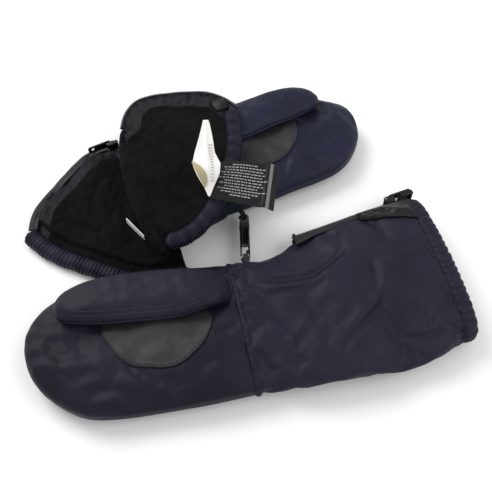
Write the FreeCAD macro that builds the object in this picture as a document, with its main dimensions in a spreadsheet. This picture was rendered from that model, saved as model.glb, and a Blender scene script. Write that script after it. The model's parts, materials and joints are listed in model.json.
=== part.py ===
import FreeCAD, Part

import math
import os

# A pair of padded winter mittens lying palm up.  The right mitten is zipped shut.  The left mitten
# lies behind it with its cuff unzipped: the back half is spread on the floor and the palm half is
# folded over the hand.  A plastic clip joins the two at webbing loops by the wrists.
# Millimetres, +Z up, floor at Z 0, origin on the floor under the middle of the pair.

DOC = FreeCAD.newDocument("mittens")
SHEET = DOC.addObject("Spreadsheet::Sheet", "dims")

DIMENSIONS = [
    # place of the right wrist on the floor, measured from the origin
    ("wrist_x", -6.49), ("wrist_y", -72.36),
    # the left wrist measured from the right one, and the way its fingers point
    ("left_x", -2.0), ("left_y", 122.0), ("left_turn", 16.0), ("right_bend", 5.5),
    # hand, thumb and cuff
    ("hand_length", 127.5), ("hand_half_width", 47.0), ("hand_half_height", 13.0),
    ("cuff_length", 143.0), ("cuff_half_width", 55.0), ("cuff_half_height", 14.0),
    ("thumb_length", 106.0), ("thumb_half_width", 15.5), ("thumb_half_height", 6.3),
    ("thumb_row", 19.2), ("thumb_height", 30.4), ("floor_sink", 1.5), ("joint_gap", 2.0),
    ("right_thumb_fold", 27.0), ("left_thumb_fold", 47.0),
    # fabric layers of the hand and cuff, and the thinner ones of the thumb
    ("skin", 1.0), ("fill", 3.6), ("fleece", 1.5), ("ply_gap", 0.1),
    ("thumb_skin", 0.8), ("thumb_fill", 2.0), ("thumb_fleece", 1.0),
    # hems, elastic, zips; the right zip's ends are places on its cuff
    ("hem_width", 9.0), ("elastic_width", 6.0), ("elastic_thick", 1.4),
    ("zip_start", 47.0), ("zip_start_t", 55.2), ("zip_end_t", 70.6), ("zip_length", 86.0),
    ("zip_slot", 6.0), ("tape_thick", 0.7),
    ("tape_width", 5.5), ("coil_width", 2.6), ("coil_thick", 1.6), ("coil_gap", 0.4),
    ("slider_length", 9.0), ("slider_width", 7.0), ("slider_depth", 3.4), ("wall", 0.9),
    ("pull_length", 19.0), ("pull_width", 5.4), ("pull_thick", 1.6), ("pull_hole", 1.3),
    # folded half of the left cuff
    ("fold_s", -36.0), ("fold_t", 50.0), ("fold_turn", 8.3), ("fold_height", 25.5),
    ("fold_radius", 1.5), ("flap_rise", 8.0),
    # palm patch, labels and clip
    ("patch_s", 48.0), ("patch_t", 2.0), ("patch_half_length", 32.0), ("patch_half_width", 30.0),
    ("patch_thick", 0.8), ("care_length", 38.0), ("care_width", 32.0), ("care_thick", 0.8),
    ("size_length", 42.0), ("size_width", 18.0), ("size_thick", 1.6), ("size_lean", 35.0),
    ("clip_width", 6.6), ("clip_thick", 4.0), ("clip_eye", 2.1), ("gate_start", 1.8), ("gate_end", 9.4),
    ("webbing_width", 3.2), ("webbing_thick", 1.0), ("loop_reach", 6.5), ("loop_height", 8.4),
    ("loop_level", 4.3), ("right_loop_s", 14.0), ("right_loop_t", 44.6), ("left_loop_s", 10.0),
    ("left_loop_t", -38.9),
]
for row, (alias, value) in enumerate(DIMENSIONS, start=1):
    SHEET.set(f"A{row}", alias)
    SHEET.set(f"B{row}", str(value))
    SHEET.setAlias(f"B{row}", alias)
DOC.recompute()
SIZE = {alias: float(SHEET.get(alias)) for alias, _ in DIMENSIONS}
NODES = []


def vec(x, y, z=0.0):
    return FreeCAD.Vector(x, y, z)


class Frame:
    """A flat frame on the floor: s runs along the fingers or the cuff, t to the thumb side."""

    def __init__(self, x, y, s_angle, t_angle):
        self.origin = vec(x, y)
        self.s_way = vec(math.cos(math.radians(s_angle)), math.sin(math.radians(s_angle)))
        self.t_way = vec(math.cos(math.radians(t_angle)), math.sin(math.radians(t_angle)))

    def point(self, s, t, z=0.0):
        return self.origin + self.s_way * s + self.t_way * t + vec(0, 0, z)


RIGHT_HAND = Frame(SIZE["wrist_x"], SIZE["wrist_y"], 180, 90)
RIGHT_CUFF = Frame(SIZE["wrist_x"], SIZE["wrist_y"], 0, 90)
LEFT = Frame(SIZE["wrist_x"] + SIZE["left_x"], SIZE["wrist_y"] + SIZE["left_y"],
             SIZE["left_turn"], SIZE["left_turn"] + 90)
BEND = math.tan(math.radians(SIZE["right_bend"]))
FAR = 400.0


# ---------------------------------------------------------------- building blocks

def node(part, name):
    """Give a finished piece its name and put it on the list that is written out."""
    part.Label = name
    NODES.append(part)
    return part


def place(part, point, x_way=vec(1, 0), y_way=vec(0, 1)):
    """Place a part by its corner and the ways its own X and Y run."""
    turn = FreeCAD.Rotation(x_way, y_way, x_way.cross(y_way), "ZXY")
    part.Placement = FreeCAD.Placement(point, turn)
    return part


def box(name, point, sizes, x_way=vec(1, 0), y_way=vec(0, 1)):
    part = DOC.addObject("Part::Box", name)
    for prop, size in zip(("Length", "Width", "Height"), sizes):
        part.setExpression(prop, str(size))
    return place(part, point, x_way, y_way)


def cylinder(name, point, radius, height):
    part = DOC.addObject("Part::Cylinder", name)
    part.setExpression("Radius", str(radius))
    part.setExpression("Height", str(height))
    part.Placement = FreeCAD.Placement(point, FreeCAD.Rotation())
    return part


def cut(name, base, *tools):
    for index, tool in enumerate(tools):
        part = DOC.addObject("Part::Cut", name if index == len(tools) - 1 else f"{name}_step")
        part.Base, part.Tool = base, tool
        base = part
    return base


def common(name, base, tool):
    part = DOC.addObject("Part::Common", name)
    part.Base, part.Tool = base, tool
    return part


def fuse(name, *pieces):
    part = DOC.addObject("Part::MultiFuse", name)
    part.Shapes = list(pieces)
    return part


def group(name, *pieces):
    part = DOC.addObject("Part::Compound", name)
    part.Links = list(pieces)
    return part


def slab(name, outline, thick, point, x_way, y_way):
    """A flat piece of fabric: a sketched outline padded by its thickness."""
    body = DOC.addObject("PartDesign::Body", name)
    sketch = body.newObject("Sketcher::SketchObject", f"{name}_outline")
    plane = next(f for f in body.Origin.OriginFeatures if f.Role == "XY_Plane")
    sketch.AttachmentSupport = [(plane, "")]
    sketch.MapMode = "FlatFace"
    for start, end in zip(outline, outline[1:] + outline[:1]):
        sketch.addGeometry(Part.LineSegment(vec(*start), vec(*end)), False)
    pad = body.newObject("PartDesign::Pad", f"{name}_pad")
    pad.Profile = sketch
    pad.setExpression("Length", str(thick))
    body.Tip = pad
    return place(body, point, x_way, y_way)


def offset_line(points, distance):
    """An open line moved sideways by a distance, to its left, with mitred corners."""
    moved = []
    for index, point in enumerate(points):
        before = points[max(index - 1, 0)]
        after = points[min(index + 1, len(points) - 1)]
        way_in = vec(point[0] - before[0], point[1] - before[1])
        way_out = vec(after[0] - point[0], after[1] - point[1])
        ways = [way.normalize() for way in (way_in, way_out) if way.Length > 0]
        middle = sum(ways[1:], ways[0]).normalize()
        reach = distance / max(middle.dot(ways[0]), 0.5)
        moved.append((point[0] - middle.y * reach, point[1] + middle.x * reach))
    return moved


def strip(points, near, far):
    """The outline of a strip that follows an open line, between two distances from it."""
    return offset_line(points, near) + offset_line(points, far)[::-1]


# ---------------------------------------------------------------- hollow limbs

def ellipse_loft(name, frame, stations, inset):
    """A soft limb through upright oval sections, each (s, t, z, half width, half height)."""
    sections = []
    for index, (s, t, z, wide, high) in enumerate(stations):
        oval = DOC.addObject("Part::Ellipse", f"{name}_oval{index}")
        oval.setExpression("MajorRadius", f"max({wide} - ({inset}); 2)")
        oval.setExpression("MinorRadius", f"max({high} - ({inset}); 1)")
        place(oval, frame.point(s, t, z), frame.t_way, vec(0, 0, 1))
        sections.append(oval)
    loft = DOC.addObject("Part::Loft", name)
    loft.Sections = sections
    loft.Solid = True
    loft.Ruled = True
    return loft


def floor_box(name, level):
    """The space below a level near the floor, which a limb's ply doesn't reach into."""
    return box(name, vec(-FAR, -FAR, level - FAR), (2 * FAR, 2 * FAR, FAR))


def evaluate(expression):
    """The value of an inset expression, which is a sum of cells."""
    return sum(SIZE[term.strip().removeprefix("dims.")] for term in expression.split("+"))


def plies(skin, fill, fleece):
    """Outer and inner inset of the shell, the wadding and the lining of a limb."""
    one = f"dims.{skin}"
    two = f"{one} + dims.ply_gap"
    three = f"{two} + dims.{fill}"
    four = f"{three} + dims.ply_gap"
    five = f"{four} + dims.{fleece}"
    return {"shell": (None, one), "wadding": (two, three), "lining": (four, five)}


HAND_PLIES = plies("skin", "fill", "fleece")
THUMB_PLIES = plies("thumb_skin", "thumb_fill", "thumb_fleece")


def solid_limb(name, frame, stations, inset, closed, on_floor):
    """One filled limb, its ovals shrunk by the inset, its closed end drawn in by the same."""
    deep = evaluate(inset) if inset else 0.0
    first, last = stations[0][0], stations[-1][0]
    scale = (last - first - deep) / (last - first) if closed else 1.0
    moved = [(first + (s - first) * scale, *rest) for s, *rest in stations]
    limb = ellipse_loft(name, frame, moved, inset or "0")
    if on_floor:
        limb = cut(f"{name}_flat", limb, floor_box(f"{name}_floor", deep))
    return limb


def ply(name, frame, stations, insets, closed, on_floor, cutters=()):
    """One hollow layer of a limb, trimmed by the cutters."""
    outer = solid_limb(f"{name}_outer", frame, stations, insets[0], closed, on_floor)
    inner = solid_limb(f"{name}_inner", frame, stations, insets[1], closed, on_floor)
    return node(cut(name, outer, *cutters, inner), name)


def hand_stations(lean, slim, slim_shift):
    """The ovals of a hand from wrist to finger tips; the little-finger side may be slimmer."""
    level = SIZE["hand_half_height"] - SIZE["floor_sink"]
    plan = [(0.0, 0.5, 0.926, 1.0), (0.21, 0.0, 0.979, 1.0), (0.47, -0.7, 1.0, 1.0),
            (0.63, -3.0, 0.957, 1.0), (0.76, -4.5, 0.862, 0.97), (0.88, -3.5, 0.67, 0.87),
            (0.95, -3.0, 0.468, 0.7), (1.0, -1.0, 0.213, 0.42)]
    length = SIZE["hand_length"]
    first = SIZE["joint_gap"] / 2
    return [(max(part * length, first), middle + part * length * lean + slim_shift, level,
             f"dims.hand_half_width * {wide * slim:.4f}", f"dims.hand_half_height * {high}")
            for part, middle, wide, high in plan]


CUFF_PLAN = [(0.0, 0.5, 0.791, 0.929), (15.0, -1.0, 0.8, 0.95), (30.0, -3.2, 0.822, 0.97),
             (47.0, -2.2, 0.887, 1.0), (61.0, -1.5, 0.936, 1.0), (80.0, -1.1, 0.98, 1.0),
             (102.0, 0.0, 1.0, 1.0), (124.0, 1.7, 0.967, 1.0), (134.0, 2.5, 0.93, 0.97),
             (143.0, 3.0, 0.90, 0.94)]


def cuff_stations(lean, shift, first, last):
    """The ovals of a cuff between two places along it."""
    return [(s, middle + s * lean + shift, SIZE["cuff_half_height"] * high - SIZE["floor_sink"],
             f"dims.cuff_half_width * {wide:.4f}", f"dims.cuff_half_height * {high:.4f}")
            for s, middle, wide, high in between(CUFF_PLAN, first, last)]


def between(plan, first, last):
    """The rows of a plan from one place to another, with the two ends worked out from their neighbours."""
    def row_at(s):
        for low, high in zip(plan, plan[1:]):
            if low[0] <= s <= high[0]:
                part = (s - low[0]) / (high[0] - low[0])
                return tuple(a + (b - a) * part for a, b in zip(low, high))
        return plan[-1]

    return [row_at(first)] + [row for row in plan if first < row[0] < last] + [row_at(last)]


def thumb_stations(first, last, lean):
    """The ovals of a thumb between two places along it; it lies on the palm."""
    row, level = SIZE["thumb_row"], SIZE["thumb_height"]
    plan = [(8.0, 2.0, -1.0, 0.67, 0.62), (20.0, 1.0, -0.2, 0.86, 0.8), (35.0, 0.0, 0.0, 1.0, 0.97),
            (60.0, 0.0, 0.0, 1.0, 1.0), (82.0, -0.5, 0.0, 0.9, 0.95), (96.0, -1.0, -1.2, 0.69, 0.8),
            (SIZE["thumb_length"], -1.5, -3.0, 0.36, 0.5)]
    return [(s, row + shift + s * lean, level + rise,
             f"dims.thumb_half_width * {wide:.3f}", f"dims.thumb_half_height * {high:.3f}")
            for s, shift, rise, wide, high in between(plan, first, last)]


# ---------------------------------------------------------------- hands and thumbs

def palm_patch(side, frame, stations, lean):
    """A thin half-moon patch on the palm, its straight side under the thumb's edge."""
    lift = "dims.patch_thick"
    raised = [(s, t, z, f"{wide} + dims.ply_gap + {lift}", f"{high} + dims.ply_gap + {lift}")
              for s, t, z, wide, high in stations]
    base = [(s, t, z, f"{wide} + dims.ply_gap", f"{high} + dims.ply_gap") for s, t, z, wide, high in stations]
    skin = cut(f"{side}_patch_skin", ellipse_loft(f"{side}_patch_top", frame, raised, "0"),
               ellipse_loft(f"{side}_patch_base", frame, base, "0"))
    disc = DOC.addObject("Part::Ellipse", f"{side}_patch_disc")
    disc.setExpression("MajorRadius", "dims.patch_half_length")
    disc.setExpression("MinorRadius", "dims.patch_half_width")
    straight = SIZE["patch_t"] + SIZE["patch_s"] * lean
    middle = frame.point(SIZE["patch_s"], straight, SIZE["hand_half_height"])
    right_handed = frame.s_way.cross(frame.t_way).z > 0
    across = frame.t_way if right_handed else -frame.t_way
    place(disc, middle, frame.s_way, across)
    face = DOC.addObject("Part::Face", f"{side}_patch_face")
    face.Sources = [disc]
    column = DOC.addObject("Part::Extrusion", f"{side}_patch_column")
    column.Base = face
    column.Dir = vec(0, 0, 1)
    column.DirMode = "Custom"
    column.Solid = True
    column.setExpression("LengthFwd", "dims.hand_half_height * 2")
    turned = 1 if right_handed else -1
    far_half = box(f"{side}_patch_half", frame.point(-turned * FAR / 2, straight), (FAR, FAR, FAR),
                   frame.s_way * turned, frame.t_way)
    return node(cut(f"{side}_palm_patch", common(f"{side}_patch_round", skin, column), far_half),
                f"{side}_palm_patch")


def hand(side, frame, lean, slim, slim_shift, fold):
    """A hand, its palm patch, the thumb's fixed base and the thumb that folds over the palm."""
    stations = hand_stations(lean, slim, slim_shift)
    for layer, insets in HAND_PLIES.items():
        ply(f"{side}_hand_{layer}", frame, stations, insets, True, True)
    palm_patch(side, frame, stations, lean)
    half_gap = SIZE["joint_gap"] / 2
    base = thumb_stations(8.0, fold - half_gap, lean)
    ply(f"{side}_thumb_gusset", frame, base, (None, THUMB_PLIES["wadding"][1]), False, False)
    tip = thumb_stations(fold + half_gap, SIZE["thumb_length"], lean)
    for layer, insets in THUMB_PLIES.items():
        ply(f"{side}_thumb_{layer}", frame, tip, insets, True, False)


# ---------------------------------------------------------------- webbing loops

def wrist_loop(side, root, out_way):
    """A loop of webbing that stands out of a side seam; the clip runs round its upright leg."""
    along = out_way.cross(vec(0, 0, 1))
    width, thick = "dims.webbing_width", "dims.webbing_thick"
    corner = root - along * (SIZE["webbing_width"] / 2) + vec(0, 0, SIZE["loop_level"])
    outer = box(f"{side}_loop_outer", corner, (width, "dims.loop_reach", "dims.loop_height"), along, out_way)
    inner = box(f"{side}_loop_inner", corner - along - out_way + vec(0, 0, SIZE["webbing_thick"]),
                (f"{width} + 2", f"dims.loop_reach + 1 - {thick}", f"dims.loop_height - 2 * {thick}"),
                along, out_way)
    return node(cut(f"{side}_wrist_loop", outer, inner), f"{side}_wrist_loop")


# ---------------------------------------------------------------- right cuff, zipped shut

def right_cuff():
    half_gap = SIZE["joint_gap"] / 2
    hem, end = SIZE["cuff_length"] - SIZE["hem_width"], SIZE["cuff_length"]
    level = SIZE["cuff_half_height"] - SIZE["floor_sink"]
    slot = box("right_zip_slot", RIGHT_CUFF.point(SIZE["zip_start"] - 1, 20, level - SIZE["zip_slot"] / 2),
               (FAR, FAR, "dims.zip_slot"))

    def band(name, insets, first, last, *cutters):
        return ply(name, RIGHT_CUFF, cuff_stations(BEND, 0.0, first, last), insets, False, True, cutters)

    elastic_end = half_gap + 0.8 + SIZE["elastic_width"]
    band("right_cuff_shell", HAND_PLIES["shell"], half_gap, hem - 0.3, slot)
    band("right_cuff_wadding", HAND_PLIES["wadding"], elastic_end + 0.7, hem - 0.3, slot)
    band("right_cuff_lining", HAND_PLIES["lining"], half_gap, hem - 0.3, slot)
    under_skin = HAND_PLIES["wadding"][0]
    elastic = (under_skin, f"{under_skin} + dims.elastic_thick")
    room = ("dims.skin", f"{elastic[1]} + dims.ply_gap")
    band("right_wrist_elastic", elastic, half_gap + 0.8, elastic_end)
    band("right_hem_elastic", elastic, hem + 1.5, hem + 1.5 + SIZE["elastic_width"], slot)
    space = band("right_hem_room", room, hem + 1.3, hem + 1.7 + SIZE["elastic_width"])
    cover = band("right_hem_cover", (None, HAND_PLIES["lining"][1]), hem, end, slot)
    for tool in (space, cover):
        NODES.remove(tool)
    node(cut("right_hem_band", cover, space), "right_hem_band")


def zip_way():
    """Where the right zip starts and the way it runs, along the thumb side of the cuff."""
    start = RIGHT_CUFF.point(SIZE["zip_start"], SIZE["zip_start_t"])
    end = RIGHT_CUFF.point(SIZE["zip_start"] + SIZE["zip_length"], SIZE["zip_end_t"])
    way = (end - start).normalize()
    return start, way, vec(-way.y, way.x)


def right_zip():
    start, way, out = zip_way()
    level = SIZE["cuff_half_height"] - SIZE["floor_sink"]
    gap = SIZE["coil_gap"]
    low = start + vec(0, 0, level - gap / 2 - SIZE["tape_width"])
    high = start + vec(0, 0, level + gap / 2)
    tape = ("dims.zip_length", "dims.tape_thick", "dims.tape_width")
    node(box("right_zip_tape_back", low, tape, way, out), "right_zip_tape_back")
    node(box("right_zip_tape_palm", high, tape, way, out), "right_zip_tape_palm")
    face = out * (SIZE["tape_thick"] + 0.05)
    coil = start + face + way * 3 + vec(0, 0, level - SIZE["coil_width"] / 2)
    node(box("right_zip_coil", coil, ("dims.zip_length - 8", "dims.coil_thick", "dims.coil_width"),
             way, out), "right_zip_coil")
    stop = ("1.8", "dims.coil_thick + 0.4", "dims.coil_width + 1.6")
    stop_low = vec(0, 0, level - SIZE["coil_width"] / 2 - 0.8)
    ends = [box(f"right_zip_stop{k}", start + face + way * along + stop_low, stop, way, out)
            for k, along in enumerate((1.0, SIZE["zip_length"] - 4.6))]
    node(group("right_zip_stops", *ends), "right_zip_stops")
    garage = start + way * (SIZE["zip_length"] - 2.4) + out * (SIZE["tape_thick"] + 0.05)
    pocket = box("right_zip_garage_block", garage + vec(0, 0, level - 5),
                 ("9", "3", "10"), way, out)
    hollow = box("right_zip_garage_hollow", garage - way + vec(0, 0, level - 4.2) - out * 0.1,
                 ("9", "2.3", "8.4"), way, out)
    node(cut("right_zip_garage", pocket, hollow), "right_zip_garage")


def slider_and_pull(side, point, way, out):
    """A zip slider round the coil, and its pull on the bridge; the coil's middle is at the point."""
    length, width, depth = SIZE["slider_length"], SIZE["slider_width"], SIZE["slider_depth"]
    up, rise = way.cross(out), vec(0, 0, 1)
    corner = point - way * (length / 2) - up * (width / 2) - out * (SIZE["coil_thick"] / 2)
    block = box(f"{side}_slider_block", corner, ("dims.slider_length", "dims.slider_depth",
                                                  "dims.slider_width"), way, out)
    channel = box(f"{side}_slider_channel",
                  point - way * (length / 2 + 1) - up * (SIZE["coil_width"] / 2 + 0.3) -
                  out * (SIZE["coil_thick"] / 2 + 1),
                  ("dims.slider_length + 2", "dims.coil_thick + 1.3", "dims.coil_width + 0.6"), way, out)
    body = cut(f"{side}_slider_body", block, channel)
    face = depth - SIZE["coil_thick"] / 2
    arms = [box(f"{side}_slider_arm{k}", point + out * (face - 0.2) + up * lift - way * 1.2,
                ("2.4", "3.2", "dims.wall"), way, out) for k, lift in enumerate((-3.2, 2.3))]
    pin_at = point + out * (face + 2.0)
    pin = cylinder(f"{side}_slider_pin", pin_at - rise * 3.0, 0.6, 6.0)
    node(fuse(f"{side}_zip_slider", body, *arms, pin), f"{side}_zip_slider")
    half = SIZE["pull_thick"] / 2
    eye_half, bore = 2.1, 0.9
    plate = box(f"{side}_pull_plate", pin_at + way * 1.0 - up * (SIZE["pull_width"] / 2) - out * half,
                ("dims.pull_length - 1", "dims.pull_thick", "dims.pull_width"), way, out)
    neck = box(f"{side}_pull_neck", pin_at + way * 1.0 - up * 3.4 - out * half * 1.1, ("1.5", "2", "1.2"),
               way, out)
    neck_top = box(f"{side}_pull_neck_top", pin_at + way * 1.0 + up * 2.2 - out * half * 1.1,
                   ("1.5", "2", "1.2"), way, out)
    eye = cylinder(f"{side}_pull_eye", pin_at - rise * eye_half, 1.6, 2 * eye_half)
    pin_hole = cylinder(f"{side}_pull_bore", pin_at - rise * 3, bore, 6)
    hole = cylinder(f"{side}_pull_hole_tool", vec(0, 0), "dims.pull_hole", 6)
    hole_at = pin_at + way * (SIZE["pull_length"] - 3.5) - out * 3
    hole.Placement = FreeCAD.Placement(hole_at, FreeCAD.Rotation(vec(0, 0, 1), out))
    solid = fuse(f"{side}_pull_solid", plate, eye)
    node(cut(f"{side}_zip_pull", solid, neck, neck_top, pin_hole, hole), f"{side}_zip_pull")
    return pin_at


# ---------------------------------------------------------------- left cuff, unzipped

def fold_frame():
    """The left cuff's fold: d runs from it to the fingers, e along it to the thumb side."""
    turn = math.radians(SIZE["fold_turn"])
    d_way = LEFT.s_way * math.cos(turn) - LEFT.t_way * math.sin(turn)
    e_way = LEFT.s_way * math.sin(turn) + LEFT.t_way * math.cos(turn)
    return LEFT.point(SIZE["fold_s"], SIZE["fold_t"]), d_way, e_way


def left_tube():
    """The closed stretch of the left cuff between the wrist and the foot of the zip."""
    frame = Frame(LEFT.origin.x, LEFT.origin.y, SIZE["left_turn"] + 180, SIZE["left_turn"] + 90)

    def band(name, insets, first, last):
        return ply(name, frame, cuff_stations(0.0, 2.0, first, last), insets, False, True)

    reach = -SIZE["fold_s"]
    elastic_end = 1.2 + SIZE["elastic_width"]
    band("left_cuff_shell", HAND_PLIES["shell"], 0.3, reach)
    band("left_cuff_wadding", HAND_PLIES["wadding"], elastic_end + 0.7, reach)
    band("left_cuff_lining", HAND_PLIES["lining"], 0.3, reach)
    under_skin = HAND_PLIES["wadding"][0]
    band("left_wrist_elastic", (under_skin, f"{under_skin} + dims.elastic_thick"), 1.2, elastic_end)


# Outlines as (d, e): the rims carry the zip, the hems the elastic.
FLAP_RIM = [(1, 2), (7, 14), (17, 21), (31, 20.5), (55, 11), (73, -3.5), (80, -18.5)]
FLAP_HEM = [(80, -18.5), (71.5, -49), (50.5, -83.5), (31, -102), (10, -108.6), (1, -106.8)]
BACK_RIM = [(-2, 6), (-9, 12), (-28, 11), (-45, -1.5), (-62, -16.5), (-74, -30), (-79, -44)]
BACK_HEM = [(-79, -44), (-68.5, -62), (-45, -84.5), (-26.5, -100), (-8, -109), (11, -107)]


def inner_plan(rim, hem, margin, turn):
    """A panel's outline with its hem drawn in by a margin."""
    drawn = offset_line(hem, -margin * turn)
    return rim[:-1] + drawn


def panel(side, rim, hem, origin, x_way, y_way, turn):
    """A flat half of the open cuff: three plies, the hem's cover and elastic, the zip's tape and coil."""
    up = x_way.cross(y_way)
    skin, fill, fleece, gap = (SIZE[key] for key in ("skin", "fill", "fleece", "ply_gap"))
    heights = {"shell": (0, "dims.skin"), "wadding": (skin + gap, "dims.fill"),
               "lining": (skin + fill + 2 * gap, "dims.fleece")}
    width = SIZE["hem_width"]
    for layer, (level, thick) in heights.items():
        margin = width + 0.3
        name = f"{side}_{layer}"
        node(slab(name, inner_plan(rim, hem, margin, turn), thick, origin + up * level, x_way, y_way), name)
    total = skin + fill + fleece + 2 * gap
    cover = slab(f"{side}_hem_cover", strip(hem, -turn * width, 0), total, origin, x_way, y_way)
    room_low = (total - SIZE["elastic_width"] * 0.5) / 2
    room = slab(f"{side}_hem_room", strip(hem, -turn * 6.4, -turn * 2.6), 3.0, origin + up * room_low,
                x_way, y_way)
    node(cut(f"{side}_hem_band", cover, room), f"{side}_hem_band")
    name = f"{side}_hem_elastic"
    node(slab(name, strip(hem, -turn * 6.0, -turn * 3.0), "dims.elastic_thick",
              origin + up * (room_low + 0.8), x_way, y_way), name)
    middle = origin + up * (skin + 1.6)
    name = f"{side}_zip_tape"
    node(slab(name, strip(rim[1:], turn * 0.3, turn * SIZE["tape_width"]), "dims.tape_thick", middle,
              x_way, y_way), name)
    name = f"{side}_zip_coil"
    node(slab(name, strip(rim[1:], turn * (SIZE["tape_width"] + 0.1), turn * (SIZE["tape_width"] + 1.9)),
              "dims.coil_thick", middle - up * 0.4, x_way, y_way), name)


def left_panels():
    fold, d_way, e_way = fold_frame()
    panel("left_back", BACK_RIM, BACK_HEM, fold, d_way, e_way, -1)
    rise = math.radians(SIZE["flap_rise"])
    x_way = d_way * math.cos(rise) + vec(0, 0, math.sin(rise))
    origin = fold + vec(0, 0, SIZE["fold_height"] + SIZE["fold_radius"])
    panel("left_flap", FLAP_RIM, FLAP_HEM, origin, x_way, e_way, 1)
    return origin, x_way, e_way


# ---------------------------------------------------------------- clip between the mittens

def loop_leg(root, out_way):
    """The middle of a wrist loop's upright leg."""
    return root + out_way * (SIZE["loop_reach"] - SIZE["webbing_thick"] / 2)


def clip(near_leg, far_leg):
    """A plastic hook with a springy gate; its closed eye is at the far end."""
    a_way = (far_leg - near_leg).normalize()
    b_way = vec(-a_way.y, a_way.x)
    reach = (far_leg - near_leg).Length
    half = SIZE["clip_width"] / 2
    low = vec(0, 0, SIZE["loop_level"] + (SIZE["loop_height"] - SIZE["clip_thick"]) / 2)

    def bar(name, a, b, length, width, lift=0.0, thick="dims.clip_thick"):
        point = near_leg + a_way * a + b_way * b + low + vec(0, 0, lift)
        return box(name, point, (length, width, thick), a_way, b_way)

    hook_end = cylinder("clip_hook_end", near_leg + low, "dims.clip_width / 2", "dims.clip_thick")
    far_end = cylinder("clip_far_end", far_leg + low, "dims.clip_width / 2", "dims.clip_thick")
    stock = fuse("clip_stock", hook_end, far_end, bar("clip_bar", 0, -half, reach, "dims.clip_width"))
    deep = vec(0, 0, -1)
    tall = "dims.clip_thick + 2"
    eye = SIZE["clip_eye"]
    tools = [cylinder("clip_hook_hole", near_leg + low + deep, "dims.clip_eye", tall),
             cylinder("clip_far_hole", far_leg + low + deep, "dims.clip_eye", tall),
             bar("clip_throat", 0, -eye, SIZE["gate_end"], 2 * eye, -1, tall),
             bar("clip_mouth", SIZE["gate_start"] - 0.3, eye - 0.2,
                 SIZE["gate_end"] - SIZE["gate_start"] + 0.3, half, -1, tall),
             bar("clip_slot", 14, -0.9, 9, 1.8, -1, tall)]
    node(cut("clip_body", stock, *tools), "clip_body")
    gate = bar("clip_gate", SIZE["gate_start"], eye + 0.1, SIZE["gate_end"] - SIZE["gate_start"] - 0.4,
               1.0, 0.6, "dims.clip_thick - 1.2")
    node(gate, "clip_gate")
    return a_way, b_way


# ---------------------------------------------------------------- labels

def labels(origin, x_way, e_way):
    """The care label and the size label sewn inside the flap's hem, and a small tag by the fold."""
    up = x_way.cross(e_way)
    thick = SIZE["skin"] + SIZE["fill"] + SIZE["fleece"] + 2 * SIZE["ply_gap"]
    away = (x_way * 0.844 - e_way * 0.537).normalize()
    along = up.cross(away)
    sewn = origin + x_way * 44.5 - e_way * 76.0 + up * (thick + 0.4)
    corner = sewn - along * (SIZE["care_width"] / 2)
    node(box("care_label", corner, ("dims.care_length", "dims.care_width", "dims.care_thick"), away, along),
         "care_label")
    lean = math.radians(SIZE["size_lean"])
    flat = (LEFT.s_way * 0.314 + LEFT.t_way * 0.95).normalize()
    rising = flat * math.cos(lean) + vec(0, 0, math.sin(lean))
    across = vec(flat.y, -flat.x)
    foot = sewn + up * 2.6 - away * 11.0 - along * 10.0
    base = foot - across * (SIZE["size_width"] / 2)
    node(box("size_label", base, ("dims.size_length", "dims.size_width", "dims.size_thick"), rising,
             across), "size_label")
    tag_way = (LEFT.s_way * 5 - LEFT.t_way * 20).normalize()
    tag = LEFT.point(-62, -8, thick + 0.2)
    node(box("lining_tag", tag, ("20", "0.8", "5"), tag_way, vec(-tag_way.y, tag_way.x)), "lining_tag")
    return {"care": (sewn, away, along, up), "size": (foot, rising, across)}


def left_zip_ends(origin, x_way, e_way):
    """The stop at the foot of the open zip, and the cloth pocket at its top end on the flap."""
    stop = LEFT.point(-37.5, 54.5, 11.0)
    node(box("left_zip_stop", stop, ("2", "3", "5"), LEFT.s_way, LEFT.t_way), "left_zip_stop")
    up = x_way.cross(e_way)
    thick = SIZE["skin"] + SIZE["fill"] + SIZE["fleece"] + 2 * SIZE["ply_gap"]
    corner = origin + x_way * 66.0 - e_way * 15.0 + up * (thick + 0.2)
    node(box("left_zip_garage", corner, ("9", "9", "2.5"), x_way, e_way), "left_zip_garage")


# ---------------------------------------------------------------- the pair

DOC.recompute()
hand("right", RIGHT_HAND, BEND, 1.0, 0.0, SIZE["right_thumb_fold"])
hand("left", LEFT, 0.0, 0.93, 3.0, SIZE["left_thumb_fold"])
right_cuff()
right_zip()
ZIP_START, ZIP_WAY, ZIP_OUT = zip_way()
COIL_LEVEL = SIZE["cuff_half_height"] - SIZE["floor_sink"]
COIL_OUT = SIZE["tape_thick"] + 0.05 + SIZE["coil_thick"] / 2
RIGHT_SLIDER = ZIP_START + ZIP_WAY * (SIZE["zip_length"] - 10) + ZIP_OUT * COIL_OUT + vec(0, 0, COIL_LEVEL)
RIGHT_PIN = slider_and_pull("right", RIGHT_SLIDER, ZIP_WAY, ZIP_OUT)
left_tube()
FLAP_ORIGIN, FLAP_WAY, FOLD_WAY = left_panels()
left_zip_ends(FLAP_ORIGIN, FLAP_WAY, FOLD_WAY)
LEFT_SLIDER = LEFT.point(-45, 57, 13.5)
LEFT_PIN = slider_and_pull("left", LEFT_SLIDER, -LEFT.s_way, LEFT.t_way)
RIGHT_ROOT = RIGHT_CUFF.point(SIZE["right_loop_s"], SIZE["right_loop_t"])
LEFT_ROOT = LEFT.point(SIZE["left_loop_s"], SIZE["left_loop_t"])
wrist_loop("right", RIGHT_ROOT, RIGHT_CUFF.t_way)
wrist_loop("left", LEFT_ROOT, -LEFT.t_way)
NEAR_LEG = loop_leg(RIGHT_ROOT, RIGHT_CUFF.t_way)
FAR_LEG = loop_leg(LEFT_ROOT, -LEFT.t_way)
CLIP_WAYS = clip(NEAR_LEG, FAR_LEG)
LABELS = labels(FLAP_ORIGIN, FLAP_WAY, FOLD_WAY)
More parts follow.
